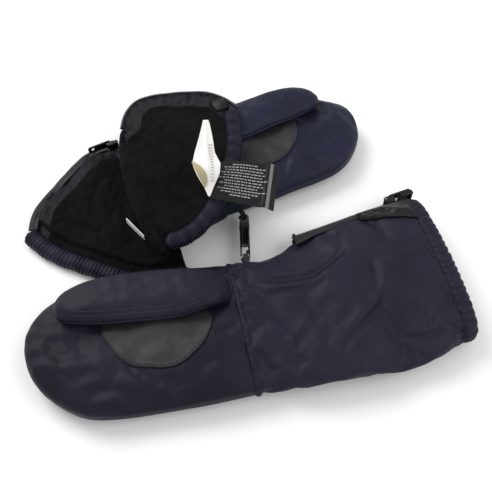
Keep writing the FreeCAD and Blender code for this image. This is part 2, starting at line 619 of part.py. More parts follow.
DOC.recompute()


def export():
    """Check every object and write each node to its own file."""
    failed = [obj.Name for obj in DOC.Objects if {"Invalid", "Error"} & set(obj.State)]
    bad = [part.Label for part in NODES if part.Shape.isNull() or not part.Shape.isValid()]
    if failed or bad:
        raise RuntimeError(f"objects {failed} failed, shapes {bad} are not valid")
    os.makedirs("parts", exist_ok=True)
    for part in NODES:
        part.Shape.exportStep(f"parts/{part.Label}.step")


export()
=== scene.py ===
"""Looks for a pair of padded winter mittens: the right one zipped, the left one open and folded back."""
import json
import math

import bmesh
import bpy
import numpy as np
from mathutils import Matrix, Vector
from mathutils.bvhtree import BVHTree


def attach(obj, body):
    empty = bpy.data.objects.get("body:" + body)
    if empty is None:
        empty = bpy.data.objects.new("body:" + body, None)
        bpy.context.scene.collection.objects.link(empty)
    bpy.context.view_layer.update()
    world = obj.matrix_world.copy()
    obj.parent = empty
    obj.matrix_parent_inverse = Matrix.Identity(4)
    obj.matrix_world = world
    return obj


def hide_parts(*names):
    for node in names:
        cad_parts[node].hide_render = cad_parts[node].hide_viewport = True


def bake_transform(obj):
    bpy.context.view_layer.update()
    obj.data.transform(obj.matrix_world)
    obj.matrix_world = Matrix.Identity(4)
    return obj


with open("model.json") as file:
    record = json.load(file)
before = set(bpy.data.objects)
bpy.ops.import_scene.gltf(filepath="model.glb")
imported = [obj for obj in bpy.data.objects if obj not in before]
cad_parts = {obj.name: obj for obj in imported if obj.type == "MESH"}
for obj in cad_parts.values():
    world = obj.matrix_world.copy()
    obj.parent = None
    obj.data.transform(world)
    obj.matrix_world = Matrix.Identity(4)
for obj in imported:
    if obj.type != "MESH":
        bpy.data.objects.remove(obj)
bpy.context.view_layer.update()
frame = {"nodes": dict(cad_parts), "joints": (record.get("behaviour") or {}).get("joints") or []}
MM = 0.001
UP = np.array([0.0, 0.0, 1.0])
FLOOR_GAP = 0.3


# ---------------------------------------------------------------- places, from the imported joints

JOINTS = {joint["name"]: joint for joint in frame["joints"]}


def joint_place(name):
    return np.array(JOINTS[name]["pos_m"]) / MM


def joint_axis(name):
    return np.array(JOINTS[name]["axis"], float)


def flat_turn(way):
    """A level direction turned a quarter turn to its left."""
    return np.array([-way[1], way[0], 0.0])


class Place:
    """A frame with an origin and three directions; points are given in millimetres along them."""

    def __init__(self, origin, s_way, t_way, up=UP):
        self.origin, self.s_way, self.t_way, self.up = (np.array(v, float) for v in (origin, s_way, t_way, up))

    def world(self, s, t, z):
        s, t, z = np.broadcast_arrays(*(np.asarray(v, float) for v in (s, t, z)))
        return self.origin + s[..., None] * self.s_way + t[..., None] * self.t_way + z[..., None] * self.up


WRIST = joint_place("right_wrist_flex") * (1, 1, 0)
X_WAY, Y_WAY = np.array([1.0, 0, 0]), np.array([0, 1.0, 0])
RIGHT_HAND = Place(WRIST, -X_WAY, Y_WAY)
RIGHT_CUFF = Place(WRIST, X_WAY, Y_WAY)
LEFT_S = -joint_axis("left_zip_travel")
LEFT_T = flat_turn(LEFT_S)
THUMB_FOLD_LEFT, THUMB_FOLD_T = 47.0, 28.0
LEFT_WRIST = (joint_place("left_thumb_lift") - LEFT_S * THUMB_FOLD_LEFT - LEFT_T * THUMB_FOLD_T) * (1, 1, 0)
LEFT = Place(LEFT_WRIST, LEFT_S, LEFT_T)
LEFT_CUFF = Place(LEFT_WRIST, -LEFT_S, LEFT_T)
FOLD = joint_place("left_cuff_fold")
E_WAY = -joint_axis("left_cuff_fold")
D_WAY = -flat_turn(E_WAY)
FLAP_RISE = math.radians(8.0)
FLAP_WAY = D_WAY * math.cos(FLAP_RISE) + UP * math.sin(FLAP_RISE)
FLAP = Place(FOLD + UP * 1.5, FLAP_WAY, E_WAY, np.cross(FLAP_WAY, E_WAY))
BACK = Place(FOLD * (1, 1, 0), D_WAY, E_WAY)
RIGHT_LEAN = math.tan(math.radians(5.5))


# ---------------------------------------------------------------- numbers and curves

def waves(points, size, seed, count=8):
    """Soft seeded unevenness, about -1 to 1, with lumps of about the size given."""
    rng = np.random.default_rng(seed)
    total = 0.0
    for _ in range(count):
        way = rng.normal(size=3)
        way *= 2 * math.pi / (np.linalg.norm(way) * size * rng.uniform(0.7, 1.5))
        total = total + np.sin(points @ way + rng.uniform(0, 2 * math.pi))
    return total / math.sqrt(count)


def natural_spline(at, rows, where):
    """A natural cubic curve through rows of numbers, read at the places given."""
    count, gap = len(at), np.diff(at)
    system, right = np.eye(count), np.zeros_like(rows)
    for i in range(1, count - 1):
        system[i, i - 1:i + 2] = gap[i - 1], 2 * (gap[i - 1] + gap[i]), gap[i]
        right[i] = 6 * ((rows[i + 1] - rows[i]) / gap[i] - (rows[i] - rows[i - 1]) / gap[i - 1])
    bend = np.linalg.solve(system, right)
    i = np.clip(np.searchsorted(at, where) - 1, 0, count - 2)
    a = ((at[i + 1] - where) / gap[i])[:, None]
    b = 1 - a
    curve = (a ** 3 - a) * bend[i] + (b ** 3 - b) * bend[i + 1]
    return a * rows[i] + b * rows[i + 1] + curve * gap[i][:, None] ** 2 / 6


def smooth_line(points, count, keys=slice(None)):
    """Rows resampled evenly along a smooth curve through them; keys are the columns that measure length."""
    rows = np.asarray(points, float)
    at = np.concatenate([[0], np.cumsum(np.linalg.norm(np.diff(rows[:, keys], axis=0), axis=1))])
    return natural_spline(at, rows, np.linspace(0, at[-1], count))


def smoothstep(low, high, value):
    part = np.clip((value - low) / (high - low), 0, 1)
    return part * part * (3 - 2 * part)


def line_distance(s, t, path):
    """Distance from points to a path, the side they are on, and how far along it they are from 0 to 1."""
    path = np.asarray(path, float)
    lengths = np.linalg.norm(np.diff(path, axis=0), axis=1)
    starts = np.concatenate([[0], np.cumsum(lengths)])
    best, side, along = np.full(s.shape, 1e9), np.zeros(s.shape), np.zeros(s.shape)
    for i, (a, b) in enumerate(zip(path, path[1:])):
        way = (b - a) / lengths[i]
        ds, dt = s - a[0], t - a[1]
        part = np.clip(ds * way[0] + dt * way[1], 0, lengths[i])
        off_s, off_t = ds - part * way[0], dt - part * way[1]
        distance = np.hypot(off_s, off_t)
        closer = distance < best
        best = np.where(closer, distance, best)
        side = np.where(closer, np.sign(way[0] * dt - way[1] * ds), side)
        along = np.where(closer, (starts[i] + part) / starts[-1], along)
    return best, side, along


def crease(s, t, path, depth, width, bank=0.6):
    """A valley along a path with a raised bank on its left; it fades out at both ends."""
    distance, side, along = line_distance(s, t, smooth_line(path, 24) if len(path) > 2 else path)
    signed = distance * side
    fade = smoothstep(0, 0.22, along) * smoothstep(1, 0.78, along)
    valley = -depth * np.exp(-(signed / width) ** 2)
    ridge = depth * bank * np.exp(-((signed - 1.9 * width) / (1.3 * width)) ** 2)
    return (valley + ridge) * fade


def dent(s, t, centre, size, depth):
    """A round hollow."""
    return -depth * np.exp(-((s - centre[0]) / size[0]) ** 2 - ((t - centre[1]) / size[1]) ** 2)


# ---------------------------------------------------------------- meshes

def new_piece(name, points, faces, material, smooth=True):
    """A mesh piece from points in millimetres."""
    mesh = bpy.data.meshes.new(name)
    mesh.from_pydata((np.asarray(points, float).reshape(-1, 3) * MM).tolist(), [], faces)
    piece = bpy.data.objects.new(name, mesh)
    bpy.context.scene.collection.objects.link(piece)
    mesh.materials.append(material)
    tidy_mesh(piece)
    if smooth:
        mesh.shade_smooth()
    return piece


def tidy_mesh(piece, merge=0.00002):
    """Close what coincides and turn every face outwards."""
    work = bmesh.new()
    work.from_mesh(piece.data)
    bmesh.ops.remove_doubles(work, verts=work.verts, dist=merge)
    bmesh.ops.dissolve_degenerate(work, edges=work.edges, dist=merge / 4)
    bmesh.ops.recalc_face_normals(work, faces=work.faces)
    work.to_mesh(piece.data)
    work.free()


def grid_faces(rows, columns, wrap_rows=False, wrap_columns=False, start=0):
    faces = []
    for i in range(rows if wrap_rows else rows - 1):
        for j in range(columns if wrap_columns else columns - 1):
            a, b = i * columns, ((i + 1) % rows) * columns
            k = (j + 1) % columns
            faces.append((start + a + j, start + a + k, start + b + k, start + b + j))
    return faces


def grid_piece(name, points, material, wrap_rows=False, wrap_columns=False, cap_first=False, cap_last=False):
    rows, columns = points.shape[:2]
    faces = grid_faces(rows, columns, wrap_rows, wrap_columns)
    if cap_first:
        faces.append(tuple(range(columns)))
    if cap_last:
        faces.append(tuple(range((rows - 1) * columns, rows * columns))[::-1])
    return new_piece(name, points, faces, material)


def modify(piece, kind, **settings):
    modifier = piece.modifiers.new(kind.title(), kind)
    for key, value in settings.items():
        setattr(modifier, key, value)
    return modifier


def bake_modifiers(piece):
    """Write the piece's modifiers into its mesh."""
    bpy.context.view_layer.update()
    graph = bpy.context.evaluated_depsgraph_get()
    mesh = bpy.data.meshes.new_from_object(piece.evaluated_get(graph))
    piece.modifiers.clear()
    piece.data = mesh
    return piece


def subdivide(piece, levels=1):
    modify(piece, "SUBSURF", levels=levels, render_levels=levels)
    return bake_modifiers(piece)


def thicken(piece, thick, offset=0.0):
    """Give an open sheet its thickness in millimetres."""
    modify(piece, "SOLIDIFY", thickness=thick * MM, offset=offset, use_even_offset=False)
    return bake_modifiers(piece)


def join(name, pieces):
    """One piece from several; the first one's material comes first."""
    bpy.ops.object.select_all(action="DESELECT")
    for piece in pieces:
        piece.select_set(True)
    bpy.context.view_layer.objects.active = pieces[0]
    bpy.ops.object.join()
    pieces[0].name = name
    pieces[0].data.name = name
    return pieces[0]


def coordinates(piece):
    flat = np.empty(len(piece.data.vertices) * 3)
    piece.data.vertices.foreach_get("co", flat)
    return flat.reshape(-1, 3) / MM


def set_coordinates(piece, points):
    piece.data.vertices.foreach_set("co", (points * MM).ravel())
    piece.data.update()


def puff(piece, pinned, growth, pressure, cap, frames=22):
    """Let the cloth swell and wrinkle between its pinned seams, then keep the result in the mesh."""
    before = coordinates(piece)
    group = piece.vertex_groups.new(name="seams")
    group.add([int(i) for i in pinned], 1.0, "REPLACE")
    modifier = piece.modifiers.new("Cloth", "CLOTH")
    cloth = modifier.settings
    cloth.quality = 6
    cloth.mass = 0.2
    cloth.tension_stiffness = 12
    cloth.compression_stiffness = 8
    cloth.shear_stiffness = 5
    cloth.bending_stiffness = 0.15
    cloth.vertex_group_mass = "seams"
    cloth.shrink_min = -growth
    cloth.use_pressure = True
    cloth.uniform_pressure_force = pressure
    cloth.effector_weights.gravity = 0
    modifier.collision_settings.use_collision = False
    modifier.collision_settings.use_self_collision = False
    modifier.point_cache.frame_end = frames
    scene = bpy.context.scene
    for number in range(1, frames + 1):
        scene.frame_set(number)
    graph = bpy.context.evaluated_depsgraph_get()
    result = piece.evaluated_get(graph).to_mesh()
    flat = np.empty(len(result.vertices) * 3)
    result.vertices.foreach_get("co", flat)
    piece.evaluated_get(graph).to_mesh_clear()
    piece.modifiers.clear()
    piece.vertex_groups.clear()
    scene.frame_set(1)
    move = flat.reshape(-1, 3) / MM - before
    length = np.linalg.norm(move, axis=1, keepdims=True)
    move *= cap * np.tanh(length / cap) / np.maximum(length, 1e-9)
    after = before + move
    after[:, 2] = np.maximum(after[:, 2], FLOOR_GAP)
    set_coordinates(piece, after)
    return piece


class Surface:
    """The top of a finished piece, so that seams, stitches and patches lie on it."""

    def __init__(self, piece):
        data = piece.data
        self.tree = BVHTree.FromPolygons([v.co for v in data.vertices], [p.vertices[:] for p in data.polygons])

    def drop(self, points, lift):
        """Points moved up or down onto the surface, and the surface's direction there."""
        placed, normals = [], []
        for x, y, z in np.asarray(points).reshape(-1, 3):
            hit, normal, _, _ = self.tree.ray_cast(Vector((x * MM, y * MM, 0.2)), Vector((0, 0, -1)))
            normal = UP if normal is None else np.array(normal) * (1 if normal[2] > 0 else -1)
            height = z if hit is None else hit.z / MM
            placed.append(np.array([x, y, height]) + normal * lift)
            normals.append(normal)
        return np.array(placed), np.array(normals)


def tube(name, path, radius, material, around=8):
    """A closed round tube along a path; radius may change along it."""
    path = np.asarray(path, float)
    way = np.gradient(path, axis=0)
    way /= np.linalg.norm(way, axis=1, keepdims=True)
    side = np.cross(way, UP + np.array([0.013, 0.007, 0]))
    side /= np.linalg.norm(side, axis=1, keepdims=True)
    over = np.cross(side, way)
    angle = np.linspace(0, 2 * math.pi, around, endpoint=False)
    radius = np.broadcast_to(radius, len(path))[:, None, None]
    ring = side[:, None] * np.cos(angle)[None, :, None] + over[:, None] * np.sin(angle)[None, :, None]
    return grid_piece(name, path[:, None] + ring * radius, material, wrap_columns=True,
                      cap_first=True, cap_last=True)


def stitches(name, path, normals, material, pitch=3.0, length=2.1, radius=0.22):
    """A row of sewn thread along a path that lies on cloth."""
    path, normals = np.asarray(path, float), np.asarray(normals, float)
    at = np.concatenate([[0], np.cumsum(np.linalg.norm(np.diff(path, axis=0), axis=1))])
    count = max(int(at[-1] / pitch), 1)
    made, faces = [], []
    angle = np.linspace(0, 2 * math.pi, 6, endpoint=False)
    for k in range(count):
        where = (k + 0.5) * pitch + np.linspace(-0.5, 0.5, 5) * length
        line = np.stack([np.interp(where, at, path[:, i]) for i in range(3)], 1)
        normal = np.array([np.interp((k + 0.5) * pitch, at, normals[:, i]) for i in range(3)])
        normal /= np.linalg.norm(normal)
        way = line[-1] - line[0]
        way /= np.linalg.norm(way)
        side = np.cross(way, normal)
        bulge = np.array([-0.25, 0.12, 0.22, 0.12, -0.25])
        line = line + bulge[:, None] * normal
        swell = np.array([0.35, 0.95, 1.0, 0.95, 0.35])[:, None, None] * radius
        ring = side * np.cos(angle)[:, None] + normal * np.sin(angle)[:, None]
        start = len(made) * 30
        made.append(line[:, None] + ring[None] * swell)
        faces += grid_faces(5, 6, wrap_columns=True, start=start)
        faces += [tuple(start + i for i in range(6)), tuple(start + 24 + i for i in range(6))[::-1]]
    return new_piece(name, np.concatenate(made), faces, material)


def plate(name, outline, thick, origin, x_way, y_way, material, bevel=0.3, holes=()):
    """A flat part with rounded edges, from a flat outline in millimetres; holes are rings inside it."""
    x_way, y_way = np.asarray(x_way, float), np.asarray(y_way, float)
    normal = np.cross(x_way, y_way)
    work = bmesh.new()
    edges = []
    for ring in (outline, *holes):
        spots = [np.asarray(origin) + x_way * x + y_way * y - normal * thick / 2 for x, y in ring]
        verts = [work.verts.new(tuple(spot * MM)) for spot in spots]
        edges += [work.edges.new((a, b)) for a, b in zip(verts, verts[1:] + verts[:1])]
    bmesh.ops.triangle_fill(work, use_beauty=True, use_dissolve=True, edges=edges)
    flat = list(work.faces)
    raised = bmesh.ops.extrude_face_region(work, geom=flat)
    moved = [g for g in raised["geom"] if isinstance(g, bmesh.types.BMVert)]
    bmesh.ops.translate(work, verts=moved, vec=Vector(normal * thick * MM))
    bmesh.ops.recalc_face_normals(work, faces=work.faces)
    mesh = bpy.data.meshes.new(name)
    work.to_mesh(mesh)
    work.free()
    piece = bpy.data.objects.new(name, mesh)
    bpy.context.scene.collection.objects.link(piece)
    mesh.materials.append(material)
    mesh.shade_smooth()
    modify(piece, "BEVEL", width=bevel * MM, segments=3, limit_method="ANGLE", angle_limit=math.radians(40))
    bake_modifiers(piece)
    modify(piece, "WEIGHTED_NORMAL", keep_sharp=True)
    return bake_modifiers(piece)


def rounded(x0, x1, y0, y1, radius, steps=5):
    """The outline of a rectangle with round corners."""
    points = []
    for cx, cy, start in ((x1 - radius, y1 - radius, 0), (x0 + radius, y1 - radius, 90),
                          (x0 + radius, y0 + radius, 180), (x1 - radius, y0 + radius, 270)):
        for k in range(steps + 1):
            angle = math.radians(start + 90 * k / steps)
            points.append((cx + radius * math.cos(angle), cy + radius * math.sin(angle)))
    return points


def finish_piece(piece, slot, bodies, replaces=(), padded=None, start=None, end=None):
    """Attach a piece to the body it moves with, or fix its place when it spans several, and hide the parts it
    stands for.
    """
    if isinstance(bodies, str):
        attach(piece, bodies)
    else:
        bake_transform(piece)
    if replaces:
        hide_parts(*replaces)
    return piece


# ---------------------------------------------------------------- materials

def principled(name, colour, rough, **extra):
    """A plain surface material; returns it with its node tree and shader."""
    material = bpy.data.materials.new(name)
    material.use_nodes = True
    tree = material.node_tree
    shader = tree.nodes["Principled BSDF"]
    shader.inputs["Base Color"].default_value = (*colour, 1)
    shader.inputs["Roughness"].default_value = rough
    for key, value in extra.items():
        shader.inputs[key.replace("_", " ")].default_value = value
    return material, tree, shader


def texture(tree, kind, scale, detail=2.0, stretch=None):
    """A procedural pattern in object space; scale counts features per metre."""
    where = tree.nodes.new("ShaderNodeTexCoord")
    source = where.outputs["Object"]
    if stretch:
        mapping = tree.nodes.new("ShaderNodeMapping")
        mapping.inputs["Scale"].default_value = stretch
        tree.links.new(source, mapping.inputs["Vector"])
        source = mapping.outputs["Vector"]
    node = tree.nodes.new(kind)
    node.inputs["Scale"].default_value = scale
    if "Detail" in node.inputs:
        node.inputs["Detail"].default_value = detail
    tree.links.new(source, node.inputs["Vector"])
    return node


def add_bump(tree, shader, sources, strength=0.5):
    """Fine relief from one or more patterns, each (output, depth in metres)."""
    normal = None
    for output, depth in sources:
        bump = tree.nodes.new("ShaderNodeBump")
        bump.inputs["Strength"].default_value = strength
        bump.inputs["Distance"].default_value = depth
        tree.links.new(output, bump.inputs["Height"])
        if normal:
            tree.links.new(normal, bump.inputs["Normal"])
        normal = bump.outputs["Normal"]
    tree.links.new(normal, shader.inputs["Normal"])


def vary_colour(tree, shader, output, low, high, start=0.35, stop=0.65):
    """Let the colour wander between two shades."""
    ramp = tree.nodes.new("ShaderNodeValToRGB")
    ramp.color_ramp.elements[0].position, ramp.color_ramp.elements[1].position = start, stop
    ramp.color_ramp.elements[0].color = (*low, 1)
    ramp.color_ramp.elements[1].color = (*high, 1)
    tree.links.new(output, ramp.inputs["Fac"])
    tree.links.new(ramp.outputs["Color"], shader.inputs["Base Color"])


def cloth(name, low, high, rough, sheen, weave=1500, weave_depth=0.00012, soft_depth=0.0006, soft=160,
          shine=0.4):
    """Woven cloth: two wandering shades, a fine weave and soft puckers."""
    material, tree, shader = principled(name, low, rough)
    shader.inputs["Specular IOR Level"].default_value = shine
    shader.inputs["Sheen Weight"].default_value = sheen
    shader.inputs["Sheen Roughness"].default_value = 0.4
    shader.inputs["Sheen Tint"].default_value = (*[min(1.0, 6 * part) for part in high], 1)
    wander = texture(tree, "ShaderNodeTexNoise", 22, 3)
    fine = texture(tree, "ShaderNodeTexNoise", weave, 1)
    pucker = texture(tree, "ShaderNodeTexNoise", soft, 2)
    vary_colour(tree, shader, wander.outputs["Fac"], low, high)
    add_bump(tree, shader, [(pucker.outputs["Fac"], soft_depth), (fine.outputs["Fac"], weave_depth)], 0.55)
    return material


NYLON = cloth("navy_nylon", (0.0052, 0.0042, 0.0120), (0.0120, 0.0115, 0.0250), 0.55, 0.03, shine=0.2)
NYLON_PURPLE = cloth("navy_nylon_hem", (0.0052, 0.0040, 0.0120), (0.0110, 0.0095, 0.0240), 0.54, 0.03,
                     shine=0.2)
# A copy of the navy nylon for the left mitten, tinted bluer as painted light: the same cloth under other light.
NYLON_LIGHT_TINTED = cloth("navy_nylon_painted_light_tint", (0.0055, 0.0065, 0.0200), (0.0115, 0.0140, 0.0380), 0.53, 0.03,
                   shine=0.2)
NYLON_BLACK = cloth("black_nylon", (0.0045, 0.0040, 0.0050), (0.0085, 0.0078, 0.0092), 0.45, 0.03, shine=0.25)
FACING = cloth("navy_facing", (0.0030, 0.0030, 0.0048), (0.0060, 0.0062, 0.0110), 0.6, 0.02, shine=0.16)
FLEECE = cloth("black_fleece", (0.0018, 0.0018, 0.0020), (0.0042, 0.0042, 0.0045), 0.95, 0.03,
               weave=900, weave_depth=0.0007, soft_depth=0.0016, soft=230, shine=0.12)
TAPE = cloth("black_tape", (0.006, 0.006, 0.007), (0.012, 0.012, 0.014), 0.7, 0.1, weave=1100)
WEBBING = cloth("black_webbing", (0.008, 0.008, 0.009), (0.014, 0.014, 0.016), 0.62, 0.15, weave=1300)
THREAD, _, _ = principled("navy_thread", (0.030, 0.031, 0.045), 0.5)
DARK_THREAD, _, _ = principled("dark_thread", (0.012, 0.012, 0.017), 0.55)
COIL, _, _ = principled("black_coil", (0.022, 0.024, 0.030), 0.3)
METAL, _, _ = principled("black_metal", (0.030, 0.030, 0.033), 0.27, Metallic=0.85)
PLASTIC, _, _ = principled("gloss_plastic", (0.0075, 0.0075, 0.008), 0.19, Coat_Weight=0.4, Coat_Roughness=0.1)


def grip_material():
    material, tree, shader = principled("grip_patch", (0.018, 0.017, 0.018), 0.60)
    cells = texture(tree, "ShaderNodeTexVoronoi", 850)
    wander = texture(tree, "ShaderNodeTexNoise", 30, 3)
    vary_colour(tree, shader, wander.outputs["Fac"], (0.008, 0.007, 0.009), (0.017, 0.015, 0.018))
    add_bump(tree, shader, [(cells.outputs["Distance"], 0.00022), (wander.outputs["Fac"], 0.0006)], 0.5)
    return material


GRIP = grip_material()


def satin(name, colour, rough, sheen, shine=0.5):
    material, tree, shader = principled(name, colour, rough, Sheen_Weight=sheen, Sheen_Roughness=0.25)
    shader.inputs["Anisotropic"].default_value = 0.5
    shader.inputs["Specular IOR Level"].default_value = shine
    fine = texture(tree, "ShaderNodeTexNoise", 1800, 1)
    add_bump(tree, shader, [(fine.outputs["Fac"], 0.00006)], 0.35)
    return material


BLACK_SATIN = satin("black_satin", (0.0045, 0.0045, 0.0048), 0.24, 0.02, 0.3)
# Light grey satin, used as a painted highlight on the black care label.
SATIN_PAINTED_HIGHLIGHT = satin("satin_painted_highlight", (0.16, 0.16, 0.16), 0.3, 0.2)
WHITE_SATIN = satin("white_satin", (0.80, 0.79, 0.765), 0.5, 0.2)
PRINT, _, _ = principled("label_print", (0.36, 0.36, 0.36), 0.6)
# Beige for the inside of the white size label: painted shade.
RIBBON_PAINTED_SHADE, _, _ = principled("ribbon_inside_painted_shade", (0.40, 0.34, 0.19), 0.6)
FAINT_PRINT, _, _ = principled("faint_print", (0.48, 0.47, 0.45), 0.7)


# ---------------------------------------------------------------- sections and limbs

HAND_LENGTH, HAND_HALF_WIDTH, HAND_HALF_HEIGHT, HAND_LEVEL = 127.5, 47.0, 13.0, 11.5
HAND_PLAN = [(0.0, 0.5, 0.926, 1.0), (0.21, 0.0, 0.979, 1.0), (0.47, -0.7, 1.0, 1.0), (0.63, -3.0, 0.957, 1.0),
             (0.76, -4.5, 0.862, 0.97), (0.88, -3.5, 0.67, 0.87), (0.95, -3.0, 0.468, 0.7),
             (0.99, -1.6, 0.24, 0.5), (1.003, -1.0, 0.02, 0.2)]
CUFF_HALF_WIDTH, CUFF_HALF_HEIGHT = 55.0, 14.0
CUFF_PLAN = [(0.0, 0.5, 0.791, 0.929), (15.0, -1.0, 0.8, 0.95), (30.0, -3.2, 0.822, 0.97),
             (47.0, -2.2, 0.887, 1.0),
             (61.0, -1.5, 0.936, 1.0), (80.0, -1.1, 0.98, 1.0), (102.0, 0.0, 1.0, 1.0), (124.0, 1.7, 0.967, 1.0),
             (134.0, 2.5, 0.93, 0.97), (143.0, 3.0, 0.90, 0.94)]
THUMB_HALF_WIDTH, THUMB_HALF_HEIGHT, THUMB_LEVEL = 15.5, 6.3, 30.4
THUMB_PLAN = [(2.0, 2.5, -8.0, 0.50, 0.5), (8.0, 2.0, -3.2, 0.70, 0.8), (20.0, 1.0, -0.4, 0.88, 0.95),
              (35.0, 0.0, 0.0, 1.0, 1.0), (60.0, 0.0, 0.0, 1.0, 1.0), (82.0, -0.5, 0.0, 0.93, 0.95),
              (96.0, -1.0, -1.4, 0.74, 0.85), (104.0, -1.4, -3.4, 0.46, 0.62), (107.5, -1.5, -4.8, 0.04, 0.2)]


def hand_rows(slim, shift):
    """Rows of s, middle t, half width, half height and level of a hand."""
    return [(part * HAND_LENGTH, middle + shift, HAND_HALF_WIDTH * wide * slim, HAND_HALF_HEIGHT * high,
             HAND_LEVEL)
            for part, middle, wide, high in HAND_PLAN]


def thumb_rows(row):
    return [(s, row + shift, THUMB_HALF_WIDTH * wide, THUMB_HALF_HEIGHT * high, THUMB_LEVEL + rise)
            for s, shift, rise, wide, high in THUMB_PLAN]


def cuff_rows(last):
    """Rows of the cuff up to a place along it."""
    plan = np.array(CUFF_PLAN)
    places = [s for s in plan[:, 0] if s < last - 2] + [last]
    rows = [[np.interp(s, plan[:, 0], plan[:, k]) for k in range(4)] for s in places]
    return [(s, middle, CUFF_HALF_WIDTH * wide, CUFF_HALF_HEIGHT * high, CUFF_HALF_HEIGHT * high - 1.5)
            for s, middle, wide, high in rows]


def soft_power(value, power):
    return np.sign(value) * np.abs(value) ** power


def limb(rows, count, around, lean, square=(0.92, 0.86), seam=0.8):
    """s, t and z over a limb's skin, and how much each point faces up; a shallow seam runs along both sides."""
    rows = smooth_line(rows, count, keys=[0, 2])
    angle = np.linspace(0, 2 * math.pi, around, endpoint=False)
    c, s_ = np.cos(angle), np.sin(angle)
    s, middle, wide, high, level = (rows[:, k:k + 1] for k in range(5))
    groove = seam * np.exp(-(s_ / 0.16) ** 2)
    t = middle + (wide - groove) * soft_power(c, square[0]) + s * lean
    z = level + high * soft_power(s_, square[1])
    return s + 0 * t, t, z, np.maximum(s_, 0) ** 0.5 + 0 * t


def settle(z):
    """Keep cloth above the floor, with a soft turn where it meets it."""
    return np.where(z < 1.5 + FLOOR_GAP, FLOOR_GAP + 1.5 * np.exp((z - FLOOR_GAP - 1.5) / 1.5), z)


# ---------------------------------------------------------------- hands

def right_hand_shape(s, t):
    """Creases and hollows of the right palm."""
    return (crease(s, t, [(15.9, -6.3), (8.0, -5.4), (0.8, -3.8)], 1.4, 1.6)
            + crease(s, t, [(70.6, -13.0), (64.0, -19.5), (58.1, -24.5)], 1.5, 3.2)
            + crease(s, t, [(48.9, -25.3), (44.5, -30.0), (40.0, -33.8)], 1.3, 3.0)
            + crease(s, t, [(13.8, 10.8), (9.0, 10.2), (4.6, 10.0)], 1.2, 1.2)
            + crease(s, t, [(92.0, -24.0), (80.0, -26.0), (66.0, -33.0)], 0.9, 3.4)
            + crease(s, t, [(30.0, -24.0), (16.0, -22.0), (5.0, -25.0)], 0.9, 2.6)
            + crease(s, t, [(112.0, 14.0), (108.0, 2.0), (101.0, -8.0)], 1.2, 4.0)
            + dent(s, t, (93.0, 3.0), (9.0, 9.0), 2.2)
            + dent(s, t, (28.0, 2.0), (14.0, 9.0), 1.2))


def left_hand_shape(s, t):
    return (crease(s, t, [(96.0, -22.0), (84.0, -20.0), (70.0, -25.0)], 1.1, 3.0)
            + crease(s, t, [(60.0, -20.0), (52.0, -27.0), (47.0, -36.0)], 1.4, 2.8)
            + crease(s, t, [(112.0, 18.0), (107.0, 6.0), (104.0, -6.0)], 1.3, 3.5)
            + dent(s, t, (92.0, 4.0), (10.0, 8.0), 2.0))


def build_hand(side, place, lean, slim, shift, shape, material, seed):
    s, t, z, top = limb(hand_rows(slim, shift), 130, 132, lean)
    points = place.world(s, t, z)
    swell = waves(points, 34, seed) * 0.9 + waves(points, 13, seed + 1) * 0.4 + waves(points, 6, seed + 2) * 0.12
    points[..., 2] = settle(z + (shape(s, t) * smoothstep(0.1, 0.6, top) + swell * (0.4 + 0.6 * top)))
    return grid_piece(f"{side}_hand", points, material, wrap_columns=True, cap_first=True, cap_last=True)


def thumb_edge(rows, lean, reach):
    """The near edge of the thumb on the palm, as places s and t, moved by reach."""
    fine = smooth_line(rows, 120, keys=[0, 2])
    return fine[:, 0], fine[:, 1] - fine[:, 2] + fine[:, 0] * lean + reach, fine[:, 4]


def build_thumb(side, place, lean, row, material, thread, seed, first, last):
    """The thumb pouch on the palm: a soft pad, the sewn lip along its free edge and two rows of stitches."""
    rows = thumb_rows(row)
    s, t, z, top = limb(rows, 110, 96, lean, (0.8, 0.9), 0.0)
    points = place.world(s, t, z)
    swell = waves(points, 24, seed) * 0.7 + waves(points, 9, seed + 1) * 0.22
    points[..., 2] += swell * top - 0.5 * np.exp(-((t - s * lean - (row - 12)) / 4.5) ** 2) * top
    pad = grid_piece(f"{side}_thumb_pad", points, material, wrap_columns=True, cap_first=True, cap_last=True)
    es, et, level = thumb_edge(rows, lean, 0.0)
    keep = (es > first) & (es < last)
    es, et, level = es[keep], et[keep], level[keep]
    lip_path = place.world(es, et + 0.1, level - 0.6)
    lip_path[:, 2] += waves(lip_path, 30, seed + 2) * 0.35
    swell_ends = np.sin(np.linspace(0.12, math.pi - 0.12, len(es))) ** 0.35
    lip = tube(f"{side}_thumb_lip", lip_path, 1.05 * swell_ends, material)
    skin = Surface(pad)
    rows_of_thread = []
    for reach in (2.6, 5.0):
        path, normals = skin.drop(place.world(es, et + reach, level), 0.05)
        rows_of_thread.append(stitches(f"{side}_thumb_stitch", path[4:-4], normals[4:-4], thread, 2.6, 1.9, 0.2))
    stitch = join(f"{side}_thumb_stitches", rows_of_thread)
    return pad, lip, stitch


def build_patch(side, place, surface, curve, inner):
    """The half-moon patch laid on the palm; its straight side runs under the thumb."""
    outline = smooth_line(curve, 90)
    inner = smooth_line(inner, 90)
    blend = np.linspace(0, 1, 26)[None, :, None]
    flat = outline[:, None] * (1 - blend) + inner[:, None] * blend
    points = place.world(flat[..., 0], flat[..., 1], 24.0)
    placed, _ = surface.drop(points, 0.75)
    piece = grid_piece(f"{side}_patch", placed.reshape(points.shape), GRIP)
    piece = thicken(piece, 0.9)
    inset = place.world(outline[:, 0], outline[:, 1] + 1.6, 24.0)
    path, normals = surface.drop(inset, 1.3)
    sewn = stitches(f"{side}_patch_stitches", path, normals, DARK_THREAD, 2.6, 1.9, 0.2)
    return piece, sewn


# ---------------------------------------------------------------- swept bands

